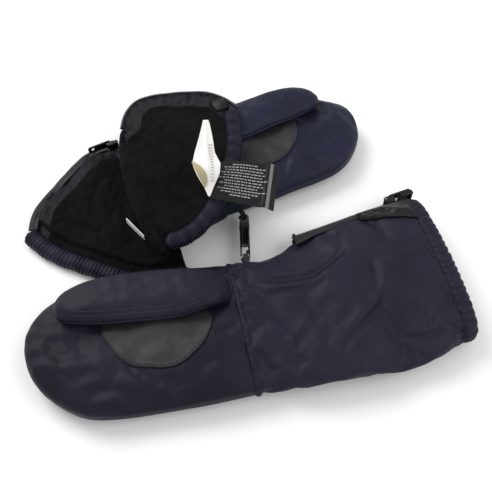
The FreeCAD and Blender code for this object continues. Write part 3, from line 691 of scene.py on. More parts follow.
def sweep(name, path, side, lift, profile, material, swell=None, closed=True):
    """A band along a path: a profile of (side, lift) distances carried along it."""
    path, side, lift = (np.asarray(v, float) for v in (path, side, lift))
    profile = np.asarray(profile, float)
    swell = np.ones((len(path), len(profile))) if swell is None else swell
    points = (path[:, None] + side[:, None] * (profile[:, 0] * swell)[..., None]
              + lift[:, None] * (profile[:, 1] * swell)[..., None])
    points[..., 2] = np.maximum(points[..., 2], FLOOR_GAP)
    return grid_piece(name, points, material, wrap_columns=closed, cap_first=closed, cap_last=closed)


def oval(half_wide, half_high, count=14, square=0.9, shift=(0, 0)):
    angle = np.linspace(0, 2 * math.pi, count, endpoint=False)
    return np.stack([shift[0] + half_wide * soft_power(np.cos(angle), square),
                     shift[1] + half_high * soft_power(np.sin(angle), square)], 1)


def edge_path(place, outline, level, step=0.45, inset=0.0):
    """A smooth path along an outline in a place, the sideways direction out of it, and its lengths."""
    fine = smooth_line(outline, 400)
    lengths = np.concatenate([[0], np.cumsum(np.linalg.norm(np.diff(fine, axis=0), axis=1))])
    at = np.arange(0, lengths[-1], step)
    flat = np.stack([np.interp(at, lengths, fine[:, k]) for k in (0, 1)], 1)
    way = np.gradient(flat, axis=0)
    way /= np.linalg.norm(way, axis=1, keepdims=True)
    out = np.stack([-way[:, 1], way[:, 0]], 1)
    flat = flat - out * inset
    level = level(flat[:, 0], flat[:, 1]) if callable(level) else level
    side = out[:, :1] * place.s_way + out[:, 1:] * place.t_way
    return place.world(flat[:, 0], flat[:, 1], level), side, np.tile(place.up, (len(at), 1)), at


def gathers(at, around, pitch, depth, seed):
    """How far a gathered band's skin stands out along it: uneven pleats that differ a little round the band."""
    rng = np.random.default_rng(seed)
    drift = np.cumsum(rng.normal(0, 0.05, len(at)))
    drift -= np.linspace(0, drift[-1], len(at))
    phase = 2 * math.pi * at / pitch + drift * 2
    turn = np.linspace(0, 2 * math.pi, around, endpoint=False)
    pleat = np.abs(np.sin(phase[:, None] / 2 + 0.55 * np.sin(2 * turn + 1.3)[None])) ** 0.6
    height = 1 + 0.45 * np.sin(phase[:, None] / 5.3 + rng.uniform(0, 6) + np.sin(turn)[None])
    return 1 + depth * (pleat - 0.6) * height


def teeth(name, path, pitch, radius, material=COIL):
    """A zip's coil: a thin cord with a bead for every tooth."""
    at = np.concatenate([[0], np.cumsum(np.linalg.norm(np.diff(path, axis=0), axis=1))])
    fine = np.arange(0, at[-1], pitch / 4)
    line = np.stack([np.interp(fine, at, path[:, k]) for k in range(3)], 1)
    swell = radius * (0.72 + 0.28 * np.cos(2 * math.pi * fine / pitch))
    return tube(name, line, swell, material)


# ---------------------------------------------------------------- right cuff

RIGHT_HEM_START, RIGHT_BEAD = 128.5, 5.0
ZIP_START, ZIP_END, ZIP_LEVEL = (47.0, 55.2), (133.0, 70.6), 12.5


def right_cuff_shape(s, t):
    """The folds that cross the right cuff's palm side."""
    return (crease(s, t, [(77.3, 34.0), (61.6, 25.2), (45.4, 20.2), (28.5, 21.0), (12.0, 23.5)], 2.4, 2.6, 0.75)
            + crease(s, t, [(87.3, 23.5), (86.5, 10.0), (82.0, 0.5), (71.2, -5.7)], 2.0, 3.0)
            + crease(s, t, [(25.1, -25.9), (36.2, -16.4), (46.8, -7.0)], 1.7, 2.4)
            + crease(s, t, [(46.6, -34.3), (60.8, -25.0), (79.7, -12.6), (92.4, 0.3)], 2.0, 2.8)
            + crease(s, t, [(108.2, -31.0), (115.2, -22.7), (130.4, -16.0)], 1.3, 1.5)
            + crease(s, t, [(89.2, -32.1), (103.8, -33.2), (119.9, -32.6), (133.0, -34.5)], 1.4, 1.5)
            + crease(s, t, [(117.0, -29.0), (124.4, -32.5)], 0.9, 1.2)
            + crease(s, t, [(126.0, 30.0), (116.0, 26.0), (104.0, 27.0)], 1.0, 2.2)
            + crease(s, t, [(126.0, 8.0), (117.0, 5.0), (108.0, 6.0)], 0.8, 2.0)
            + dent(s, t, (89.0, -38.5), (5, 3), 1.6) + dent(s, t, (69.0, -40.4), (5, 3), 1.5)
            + dent(s, t, (28.0, -33.0), (5, 3), 1.6) + dent(s, t, (11.0, -34.0), (4, 3), 1.5))


def section(rows, s, inset, angle, lean, square=(0.95, 0.85)):
    """Points round a limb's section, drawn in by the inset."""
    rows = np.asarray(rows, float)
    middle, wide, high, level = (np.interp(s, rows[:, 0], rows[:, k]) for k in range(1, 5))
    t = middle + (wide - inset) * soft_power(np.cos(angle), square[0]) + s * lean
    return s + 0 * t, t, level + (high - inset) * soft_power(np.sin(angle), square[1])


def build_right_cuff():
    rows = cuff_rows(RIGHT_HEM_START + 1)
    s, t, z, top = limb(rows, 92, 168, RIGHT_LEAN, (0.95, 0.85), 0.0)
    points = RIGHT_CUFF.world(s, t, z)
    puckers = 0.8 * np.sin(t / 1.9 + 2.5 * waves(points, 40, 5)) * np.exp(-s / 8.0)
    swell = waves(points, 38, 11) * 1.1 + waves(points, 15, 12) * 0.35
    fade = smoothstep(0, 10, s) * smoothstep(RIGHT_HEM_START + 1, RIGHT_HEM_START - 6, s)
    relief = right_cuff_shape(s, t) * smoothstep(0.1, 0.6, top) + swell * (0.3 + 0.7 * top) * fade + puckers * top
    points[..., 2] = settle(points[..., 2] + relief)
    piece = grid_piece("right_cuff", points, NYLON, wrap_columns=True)
    flat = coordinates(piece)
    local = flat - WRIST
    across = (local[:, 1] - local[:, 0] * RIGHT_LEAN) / CUFF_HALF_WIDTH
    pinned = np.where((local[:, 0] < 1.5) | (local[:, 0] > RIGHT_HEM_START - 1.0)
                      | (flat[:, 2] < 2.0) | ((across > 0.86) & (local[:, 0] > 45)))[0]
    puff(piece, pinned, growth=0.035, pressure=0.6, cap=2.6)
    piece = subdivide(piece)
    return thicken(piece, 0.8, -1.0)


def build_right_hem():
    """The gathered hem: a ring of soft beads that turns into the mouth."""
    rows = cuff_rows(143)
    profile = smooth_line([(128.0, 1.4), (128.6, -0.4), (130.6, -1.7), (133.4, -2.3), (136.2, -1.9), (138.2, -0.4),
                           (138.5, 1.8), (137.2, 3.6), (134.0, 4.4), (129.0, 4.8)], 24)
    around = 460
    angle = np.linspace(0, 2 * math.pi, around, endpoint=False)
    _, rim_t, rim_z = section(rows, 135.0, 0.0, angle, 0.0)
    lengths = np.concatenate([[0], np.cumsum(np.hypot(np.diff(rim_t), np.diff(rim_z)))])
    rng = np.random.default_rng(4)
    drift = np.interp(lengths, np.linspace(0, lengths[-1], 30), np.append(rng.normal(0, 0.5, 29), 0))
    beads = np.abs(np.sin(math.pi * lengths / RIGHT_BEAD + drift)) ** 0.75
    points = []
    for k, (s, inset) in enumerate(profile):
        part = k / (len(profile) - 1)
        weight = math.sin(math.pi * min(1, part * 1.25)) if part < 0.8 else 0
        ring = section(rows, s, inset + (0.75 - beads) * 1.7 * weight, angle, RIGHT_LEAN)
        points.append(RIGHT_CUFF.world(*ring))
    points = np.array(points)
    points[..., 2] = settle(points[..., 2] + waves(points, 9, 8) * 0.25)
    hem = grid_piece("right_hem", points, NYLON_PURPLE, wrap_columns=True)
    seam = [(RIGHT_CUFF.world(*section(rows, s, inset, angle, RIGHT_LEAN))) for s, inset in
            ((127.2, -0.05), (127.7, -0.55), (128.2, -0.5), (128.6, 0.3))]
    seam = np.array(seam)
    seam[..., 2] = settle(seam[..., 2])
    welt = grid_piece("right_hem_welt", seam, NYLON, wrap_columns=True)
    inside = []
    for s, inset in ((134.0, 4.4), (128.0, 5.2), (110.0, 6.4), (80.0, 6.6), (40.0, 6.4), (6.0, 6.0)):
        inside.append(RIGHT_CUFF.world(*section(rows, s, inset, angle[::4], RIGHT_LEAN)))
    inside = np.array(inside)
    inside[..., 2] = settle(inside[..., 2])
    lining = grid_piece("right_lining", inside, FLEECE, wrap_columns=True)
    return hem, welt, lining


def zip_line(count):
    """Places along the right zip, and the way out of the cuff there."""
    part = np.linspace(0, 1, count)
    s = ZIP_START[0] + (ZIP_END[0] - ZIP_START[0]) * part
    t = ZIP_START[1] + (ZIP_END[1] - ZIP_START[1]) * part
    return s, t


def build_right_zip(cuff):
    """Two tapes that hug the cuff's side, the coil between them and the wrinkled cover by the hem."""
    s, t = zip_line(150)
    rows = cuff_rows(143)
    pieces = {}
    for name, rise in (("palm", 1.0), ("back", -1.0)):
        strip = []
        for part in np.linspace(0, 1, 9):
            angle = np.radians(4 + 24 * part)
            _, edge_t, edge_z = zip(*[section(rows, one, -0.5, angle, RIGHT_LEAN) for one in s])
            edge_z = ZIP_LEVEL + (np.array(edge_z) - ZIP_LEVEL) * rise
            mix = (1 - part) ** 2
            strip.append(RIGHT_CUFF.world(s, np.array(edge_t) * (1 - mix) + (t + 0.4) * mix,
                                          np.maximum(edge_z, 1.0) + 0.25 * np.sin(s / 2.3 + part)))
        piece = grid_piece(f"right_tape_{name}", np.array(strip), TAPE)
        pieces[name] = thicken(piece, 0.7)
    coil = teeth("right_coil", RIGHT_CUFF.world(s[4:-8], t[4:-8] + 1.3, ZIP_LEVEL), 1.35, 1.25)
    surface = Surface(cuff)
    along = np.linspace(93.0, 134.0, 84)
    low = np.interp(along, [93, 110, 134], [54.5, 51.0, 45.0])
    high = np.interp(along, [93, 134], [62.2, 65.5])
    across = np.linspace(0, 1, 26)[:, None]
    spots = RIGHT_CUFF.world(along[None] + 0 * across, low[None] * (1 - across) + high[None] * across, 18.0)
    placed, _ = surface.drop(spots, 1.1)
    placed = placed.reshape(spots.shape)
    border = np.minimum(smoothstep(0, 0.18, across), smoothstep(1, 0.82, across))
    ends = smoothstep(93, 95, along) * smoothstep(134, 132, along)
    placed[..., 2] += (waves(placed, 7, 21) * 0.8 + 0.9) * border * ends[None]
    cover = thicken(grid_piece("right_zip_cover", placed, NYLON_BLACK), 0.8)
    return pieces["palm"], pieces["back"], coil, subdivide(cover)


def band_round(name, place, rows, first, last, lift, lean, square, material, around=150):
    """A narrow raised band round a limb, such as a seam or gathered wrist."""
    angle = np.linspace(0, 2 * math.pi, around, endpoint=False)
    profile = [(first, -0.2), (first + 0.15 * (last - first), lift * 0.8), (0.5 * (first + last), lift),
               (last - 0.15 * (last - first), lift * 0.8), (last, -0.2)]
    points = []
    for s, out in profile:
        puckers = 0.35 * np.sin(angle * 46)
        points.append(place.world(*section(rows, s, -out - puckers * (out > 0), angle, lean, square)))
    points = np.array(points)
    points[..., 2] = settle(points[..., 2])
    return grid_piece(name, points, material, wrap_columns=True)


# ---------------------------------------------------------------- left mitten's open cuff

FLAP_RIM = [(1, 2), (7, 14), (17, 21), (31, 20.5), (55, 11), (73, -3.5), (80, -18.5)]
FLAP_HEM = [(80, -18.5), (71.5, -49), (50.5, -83.5), (31, -102), (10, -108.6), (1, -106.8)]
BACK_RIM = [(-2, 6), (-9, 12), (-28, 11), (-45, -1.5), (-62, -16.5), (-74, -30), (-79, -44)]
BACK_HEM = [(-79, -44), (-68.5, -62), (-45, -84.5), (-26.5, -100), (-8, -109), (11, -107)]
LAYERS = 6.3


def distance_to(path, d, e):
    return line_distance(d, e, smooth_line(path, 60))[0]


def pad(place, name, outline, centre, thick, relief, seed, nap=0.35, edge=3.2, rings=46):
    """A closed flat pad with a round edge, over an outline; relief(d, e) lifts its top."""
    ring = np.concatenate([smooth_line(part, count)[:-1] for part, count in outline])
    centre = np.asarray(centre, float)
    reach = np.linalg.norm(ring - centre, axis=1)
    inward = np.concatenate([1 - np.linspace(0.04, 1, rings) ** 0.8, np.zeros(1)])
    tops = [(part, 0.0, 1.0) for part in inward[:-1]]
    arc = [(0.0, edge * (1 - math.sin(a)), 0.5 + 0.5 * math.cos(a)) for a in np.linspace(0.25, math.pi - 0.25, 9)]
    bottoms = [(part, edge, 0.0) for part in inward[:-1][::-1][::4]]
    rows = []
    for part, back, height in tops + arc + bottoms:
        shrink = np.clip((reach - edge) * (1 - part) + (edge - back) * (part == 0), 1.0, None) / reach
        flat = centre + (ring - centre) * shrink[:, None]
        rows.append(np.stack([flat[:, 0], flat[:, 1], np.full(len(flat), height)], 1))
    grid = np.array(rows)
    d, e, height = grid[..., 0], grid[..., 1], grid[..., 2]
    level = thick * height
    points = place.world(d, e, level)
    lumps = waves(points, 26, seed) * 0.7 + waves(points, 8, seed + 1) * nap
    rise = (relief(d, e) + lumps) * smoothstep(0.3, 1.0, height)
    points = points + rise[..., None] * place.up
    points[..., 2] = np.maximum(points[..., 2], FLOOR_GAP)
    piece = grid_piece(name, points, FLEECE, wrap_columns=True, cap_first=True, cap_last=True)
    return piece


def paint(piece, chooser, material):
    """Give the faces chosen by their middle point another material."""
    piece.data.materials.append(material)
    index = len(piece.data.materials) - 1
    middles = np.array([face.center for face in piece.data.polygons]) / MM
    normals = np.array([face.normal for face in piece.data.polygons])
    for face, chosen in zip(piece.data.polygons, chooser(middles, normals)):
        if chosen:
            face.material_index = index


def to_local(place, points):
    offset = points - place.origin
    return offset @ place.s_way, offset @ place.t_way


def flap_relief(d, e):
    """The fleece side of the flap: plump beside the facing, with soft folds towards the labels."""
    rim, hem = distance_to(FLAP_RIM, d, e), distance_to(FLAP_HEM, d, e)
    return (-0.9 * smoothstep(13.5, 11.0, rim) + 0.5 * smoothstep(17, 14, rim) - 3.2 * smoothstep(9.5, 6.5, hem)
            + crease(d, e, [(20, -20), (34, -38), (40, -58)], 1.3, 3.0)
            + crease(d, e, [(60, -10), (52, -28), (50, -44)], 1.0, 2.6)
            + crease(d, e, [(10, -70), (22, -82), (26, -96)], 1.2, 3.0)
            + dent(d, e, (24, 6), (9, 6), -1.0))


def back_relief(d, e):
    rim, hem = distance_to(BACK_RIM, d, e), distance_to(BACK_HEM, d, e)
    return (-0.8 * smoothstep(12.5, 10.5, rim) - 3.2 * smoothstep(9.5, 6.5, hem)
            + crease(d, e, [(-20, -10), (-34, -30), (-38, -56)], 1.4, 3.4)
            + crease(d, e, [(-60, -40), (-48, -54), (-32, -66)], 1.1, 3.0)
            + crease(d, e, [(-12, -40), (-18, -62), (-14, -84)], 1.2, 3.2))


def build_flap():
    root = [(1, -106.8), (-1.5, -80), (-2, -50), (-1.5, -22), (1, 2)]
    outline = [(FLAP_RIM, 90), (FLAP_HEM, 110), (root, 80)]
    flap = pad(FLAP, "left_flap_pad", outline, (34, -42), LAYERS + 0.4, flap_relief, 31)
    paint(flap, lambda p, n: (n @ FLAP.up < -0.2), NYLON)
    paint(flap, lambda p, n: (distance_to(FLAP_RIM, *to_local(FLAP, p)) < 12.5) & (n @ FLAP.up > -0.2), FACING)
    e = np.linspace(5, -109, 150)
    bulge = np.clip(np.sin(math.pi * (5 - e) / 122), 0, 1) ** 0.8
    middle = 1.0 - 5.0 * bulge
    wide, high = 4.5 + 3.4 * bulge, 5.6 + 1.9 * bulge
    ends = np.sqrt(np.clip(1 - (np.abs(e + 52) / 57.2) ** 8, 0.02, 1))
    level = 26.8 + 0.3 * bulge
    angle = np.linspace(0, 2 * math.pi, 44, endpoint=False)
    base = Place(FOLD * (1, 1, 0), D_WAY, E_WAY)
    points = base.world(middle[:, None] + (wide * ends)[:, None] * soft_power(np.cos(angle), 0.9),
                        e[:, None], level[:, None] + (high * ends)[:, None] * soft_power(np.sin(angle), 0.9))
    points += (waves(points, 17, 41) * 0.7 + waves(points, 6, 42) * 0.3)[..., None] * UP
    roll = grid_piece("left_fold_roll", points, FLEECE, wrap_columns=True, cap_first=True, cap_last=True)
    return flap, roll


def hem_band(name, place, outline, level, half_wide, half_high, pitch, depth, seed, material, inset):
    path, side, lift, at = edge_path(place, outline, level, 0.33, inset)
    profile = oval(half_wide, half_high, 20)
    swell = gathers(at, 20, pitch, depth, seed)
    ends = np.minimum(smoothstep(-1.5, 4, at), smoothstep(at[-1] + 1.5, at[-1] - 4, at))
    return sweep(name, path, side, lift, profile, material, swell * (0.35 + 0.65 * ends)[:, None])


def rim_zip(name, place, outline, level, seed):
    """A tape and a half coil that stand along the edge of an opened zip."""
    path, side, lift, _ = edge_path(place, outline, level, 0.6)
    path = path + (waves(path, 18, seed) * 0.35)[:, None] * place.up
    tape = sweep(f"{name}_tape", path - side * 1.0, side, lift, oval(2.9, 0.75, 10), TAPE)
    coil = teeth(f"{name}_coil", path + side * 1.7 + lift * 1.0, 1.7, 1.35)
    return tape, coil


def build_back():
    root = [(11, -107), (12, -60), (10, -20), (-2, 6)]
    outline = [(BACK_RIM, 100), (BACK_HEM, 110), (root, 60)]
    back = pad(BACK, "left_back_pad", outline, (-32, -50), LAYERS + 0.7, back_relief, 51)
    paint(back, lambda p, n: (n[:, 2] < -0.2), NYLON)
    paint(back, lambda p, n: (distance_to(BACK_RIM, *to_local(BACK, p)) < 11.5) & (n[:, 2] > -0.2), FACING)
    return back


def build_left_cover():
    """The small cloth pocket that covers the top end of the flap's zip."""
    corners = [[(66, -15), (70.5, -16), (75, -15)], [(75, -15), (76.5, -10.5), (75, -6)],
               [(75, -6), (70.5, -5), (66, -6)], [(66, -6), (65, -10.5), (66, -15)]]
    base = Place(FLAP.origin + FLAP.up * (LAYERS - 1.2), FLAP.s_way, FLAP.t_way, FLAP.up)
    cover = pad(base, "left_zip_cover", [(side, 16) for side in corners], (70.5, -10.5), 2.4,
                lambda d, e: 0 * d, 81,
                edge=1.2, rings=14)
    cover.data.materials[0] = NYLON_BLACK
    return cover


def build_left_cuff():
    """The closed stretch of the left cuff, from the wrist to the fold."""
    rows = [(0.0, 3.4, 42.0, 13.0, 11.5), (12.0, 2.6, 42.5, 13.2, 11.7), (26.0, 2.2, 44.0, 13.4, 11.9),
            (38.0, 2.0, 45.5, 13.4, 11.9), (47.0, 1.5, 46.5, 12.8, 11.5)]
    s, t, z, top = limb(rows, 40, 132, 0.0, (0.95, 0.85), 0.0)
    points = LEFT_CUFF.world(s, t, z)
    puckers = 0.7 * np.sin(t / 1.9) * np.exp(-s / 8.0)
    points[..., 2] = settle(points[..., 2] + waves(points, 20, 61) * 0.7 * (0.3 + 0.7 * top) + puckers * top)
    outer = thicken(grid_piece("left_cuff", points, NYLON_LIGHT_TINTED, wrap_columns=True), 0.8, -1.0)
    rows = [(s, middle, wide - 5.6, high - 5.6, level) for s, middle, wide, high, level in rows]
    s, t, z, top = limb(rows, 30, 96, 0.0, (0.95, 0.85), 0.0)
    points = LEFT_CUFF.world(s, t, z)
    inner = grid_piece("left_cuff_lining", points, FLEECE, wrap_columns=True, cap_first=True)
    return outer, inner


# ---------------------------------------------------------------- labels

CARE_CORNERS = {"near_left": (4.9, -19.8, 45.0), "near_right": (40.5, -37.3, 39.5),
                "far_right": (20.6, -65.0, 34.8), "far_left": (-13.3, -42.0, 42.4)}
SIZE_FOOT, SIZE_TIP, SIZE_HALF_WIDTH = (-13.0, -41.0, 43.0), (8.0, 4.4, 61.5), 9.6
SIZE_LENGTH = math.dist(SIZE_FOOT, SIZE_TIP)


def care_point(u, v, lift=0.0):
    """A place on the care label: u runs along its lines of print, v across them."""
    tl, tr, br, bl = (np.array(CARE_CORNERS[key]) for key in ("near_left", "near_right", "far_right", "far_left"))
    u, v = np.broadcast_arrays(np.asarray(u, float)[..., None], np.asarray(v, float)[..., None])
    flat = tl * (1 - u) * (1 - v) + tr * u * (1 - v) + br * u * v + bl * (1 - u) * v
    curl = 1.5 * np.sin(math.pi * u) + 1.4 * np.exp(-((u - 0.86) / 0.07) ** 2) - 1.2 * u * v
    wave = 0.5 * np.sin(2 * math.pi * (u * 0.8 + v * 0.5))
    return LEFT.world(flat[..., 0], flat[..., 1], flat[..., 2] + (curl + wave)[..., 0] + lift)


def build_care_label():
    """A folded satin label with rows of unreadable print."""
    u, v = np.meshgrid(np.linspace(0, 1, 60), np.linspace(0, 1, 46))
    label = grid_piece("care_label_cloth", care_point(u, v), BLACK_SATIN)
    # A narrow band of faces at about u 0.86 to 0.92, along the curl, gets the light grey: a painted highlight
    # where the satin catches the light.
    label.data.materials.append(SATIN_PAINTED_HIGHLIGHT)
    for face in label.data.polygons:
        if 51 <= face.index % (u.shape[1] - 1) <= 53:
            face.material_index = 1
    label = thicken(label, 0.4)
    rng = np.random.default_rng(17)
    spots, faces = [], []
    for row in range(12):
        v = 0.09 + row * 0.068
        half = (0.20, 0.33, 0.30, 0.36, 0.31, 0.37, 0.28, 0.35, 0.26, 0.36, 0.30, 0.15)[row]
        u = 0.44 - half
        while u < 0.44 + half:
            wide = rng.uniform(0.02, 0.06)
            steps = np.linspace(u, u + wide, 4)
            start = len(spots) * 8
            spots.append(np.concatenate([care_point(steps, v + side * 0.012, 0.36) for side in (-1, 1)]))
            faces += [(start + k, start + k + 1, start + 5 + k, start + 4 + k) for k in range(3)]
            u += wide + rng.uniform(0.008, 0.02)
    words = new_piece("care_label_print", np.concatenate(spots), faces, PRINT)
    return label, thicken(words, 0.06)


def build_size_label():
    """A white ribbon folded into a loop; it stands up from the hem and leans over the fleece."""
    foot, tip = LEFT.world(*SIZE_FOOT), LEFT.world(*SIZE_TIP)
    rise = (tip - foot) / SIZE_LENGTH
    across = np.cross(rise, UP)
    across /= np.linalg.norm(across)
    normal = np.cross(across, rise)
    part = np.linspace(0, 1, 81)
    along = SIZE_LENGTH * np.minimum(np.where(part < 0.5, part * 2, 2 - part * 2), 0.992)
    share = np.array([0.0, 0.12, 0.28, 0.40, 0.55, 0.75, 0.92, 1.0])
    left_plan = [0.06, 0.30, 0.74, 1.0, 0.86, 0.52, 0.26, 0.16]
    left = np.interp(along / SIZE_LENGTH, share, left_plan)
    right = np.interp(along / SIZE_LENGTH, share, [0.06, 0.34, 0.78, 0.86, 0.52, 0.42, 0.28, 0.16])
    gape = 6.4 * np.exp(-((along / SIZE_LENGTH - 0.30) / 0.17) ** 2)
    b = np.linspace(-1, 1, 21)
    reach = np.where(b < 0, -left[:, None] * b * -1, right[:, None] * b) * SIZE_HALF_WIDTH
    upper = (part > 0.5)[:, None]
    lift = np.where(upper, 0.2 + gape[:, None] * (1 - 0.45 * b) * 0.6, -0.2 - gape[:, None] * (1 - b) * 0.16)
    ridge = np.where(upper, 1.1 * np.exp(-(b / 0.28) ** 2), 0) * np.sin(math.pi * along / SIZE_LENGTH)[:, None]
    points = (foot + along[:, None, None] * rise + reach[..., None] * across + (lift + ridge)[..., None] * normal)
    ribbon = grid_piece("size_label_ribbon", points, WHITE_SATIN)
    ribbon = thicken(subdivide(ribbon), 0.35)
    rng = np.random.default_rng(3)
    spots, faces = [], []
    for row in range(13):
        a = 9 + row * 2.1
        high = 1.2 + 3.0 * math.exp(-((a / SIZE_LENGTH - 0.30) / 0.17) ** 2)
        for k in range(3):
            left = 0.8 + k * 1.1 + rng.uniform(-0.2, 0.2)
            start = len(spots) * 4
            corners = [(a, left), (a + 0.9, left), (a + 0.9, left + 0.7), (a, left + 0.7)]
            spots.append(np.array([foot + rise * x + across * y + normal * (high - 0.12) for x, y in corners]))
            faces.append((start, start + 1, start + 2, start + 3))
    marks = new_piece("size_label_marks", np.concatenate(spots), faces, FAINT_PRINT)
    # The loop's inside, where it shows at the lower left, is the white ribbon coloured beige as painted shade.
    u, v = np.meshgrid(np.linspace(0.10, 0.43, 26), np.linspace(0, 1, 8), indexing="ij")
    fat = np.sin(math.pi * (u - 0.10) / 0.33) ** 0.7
    edge = -np.interp(u, share, left_plan) * SIZE_HALF_WIDTH
    inner = foot + (u * SIZE_LENGTH)[..., None] * rise + (edge - 0.35 + 5.4 * fat * v)[..., None] * across
    inner = inner + (6.4 * np.exp(-((u - 0.30) / 0.17) ** 2) * 0.87 + 1.0 - 0.4 * v)[..., None] * normal
    inside = thicken(grid_piece("size_label_inside", inner, RIBBON_PAINTED_SHADE), 0.15)
    return ribbon, thicken(marks, 0.05), inside


# ---------------------------------------------------------------- zip sliders, pulls and the clip

PIN_OUT, PULL_LENGTH, PULL_HALF_WIDTH = 4.6, 18.0, 2.7


def build_slider(side):
    """A zip slider with two wings, rails and a bridge, and its rounded pull with a hole."""
    pin = joint_place(f"{side}_pull_swing")
    way = -joint_axis("right_zip_travel") if side == "right" else joint_axis("left_zip_travel")
    out = flat_turn(way) if side == "right" else -flat_turn(way)
    point = pin - out * PIN_OUT
    shield = [(-4.5, -2.2), (-3.6, -3.4), (1.6, -3.5), (4.4, -2.1), (4.6, 0), (4.4, 2.1), (1.6, 3.5), (-3.6, 3.4),
              (-4.5, 2.2)]
    face = plate(f"{side}_slider_face", shield, 1.1, point + out * 2.05, way, UP, METAL, 0.35)
    rails = [plate(f"{side}_slider_rail{k}", rounded(-3.8, 3.4, -1.4, 1.4, 0.6), 0.9,
                   point + out * 0.6 + UP * lift, way, out, METAL, 0.3) for k, lift in enumerate((-3.0, 3.0))]
    turn = np.linspace(0, math.pi, 15)[:, None]
    arch = pin + way * 2.6 * np.cos(turn) + out * (-1.9 + 2.9 * np.sin(turn) ** 0.8)
    bridge = tube(f"{side}_slider_bridge", arch, 0.62, METAL)
    slider = join(f"{side}_slider_shape", [face, *rails, bridge])
    outline = rounded(0.4, PULL_LENGTH, -PULL_HALF_WIDTH, PULL_HALF_WIDTH, 1.9)
    hole = [(PULL_LENGTH - 3.6 + 1.2 * math.cos(a), 1.2 * math.sin(a)) for a in np.linspace(0, 5.8, 14)]
    grip = [(3.2 + 0.8 * math.cos(a), 1.0 * math.sin(a)) for a in np.linspace(0, 5.8, 14)]
    pull = plate(f"{side}_pull_shape", outline, 1.5, pin, way, UP, METAL, 0.45, (hole, grip))
    return slider, pull


def build_clip():
    """The plastic hook: a closed eye with a collar at the far end, two rails and a mouth for the gate."""
    near, far = joint_place("clip_swivel"), joint_place("left_mitten_swivel")
    way = (far - near) / np.linalg.norm(far - near)
    side = flat_turn(way)
    reach = float(np.linalg.norm(far - near))
    half, eye, mouth = 3.3, 2.1, 9.4
    far_arc = [(reach + half * math.cos(a), half * math.sin(a))
               for a in np.linspace(math.pi / 2, -math.pi / 2, 13)]
    near_arc = [(half * math.cos(a), half * math.sin(a)) for a in np.linspace(-math.pi / 2, -math.pi * 1.36, 13)]
    inner_arc = [(eye * math.cos(a), eye * math.sin(a)) for a in np.linspace(-math.pi * 1.36, -math.pi / 2, 11)]
    outline = [(mouth, half), *far_arc, *near_arc, *inner_arc, (mouth, -eye)]
    ring = [(reach + 1.9 * math.cos(a), 1.9 * math.sin(a)) for a in np.linspace(0, 5.8, 14)]
    body = plate("clip_hook", outline, 4.0, near, way, side, PLASTIC, 0.7, (ring,))
    collar = plate("clip_collar", rounded(-1.3, 1.3, -3.6, 3.6, 0.8), 5.0, near + way * (reach - 7.0), way, side,
                   PLASTIC, 0.6)
    rails = [plate(f"clip_rail{k}", rounded(mouth - 1.0, reach - 8.0, -0.75, 0.75, 0.7), 1.4,
                   near + side * lift + UP * 2.1, way, side, PLASTIC, 0.4) for k, lift in enumerate((-2.1, 2.1))]
    pivot = plate("clip_pivot", [(1.5 * math.cos(a), 1.5 * math.sin(a)) for a in np.linspace(0, 5.8, 14)], 1.0,
                  near - side * 2.0 + way * 3.0 + UP * 2.2, way, side, METAL, 0.35)
    return join("clip_shape", [body, collar, *rails, pivot])


# ---------------------------------------------------------------- put everything together

def dress_hard_parts():
    """The hard parts keep their exact shapes and get their own materials."""
    looks = {"clip_gate": PLASTIC, "right_wrist_loop": WEBBING, "left_wrist_loop": WEBBING,
             "right_zip_stops": METAL, "left_zip_stop": METAL,
             "right_zip_garage": NYLON_BLACK, "lining_tag": WHITE_SATIN}
    for name, material in looks.items():
        piece = frame["nodes"][name]
        piece.data.materials.clear()
        piece.data.materials.append(material)


def world_metres(place, s, t, z):
    return tuple(float(v) for v in place.world(s, t, z) * MM)


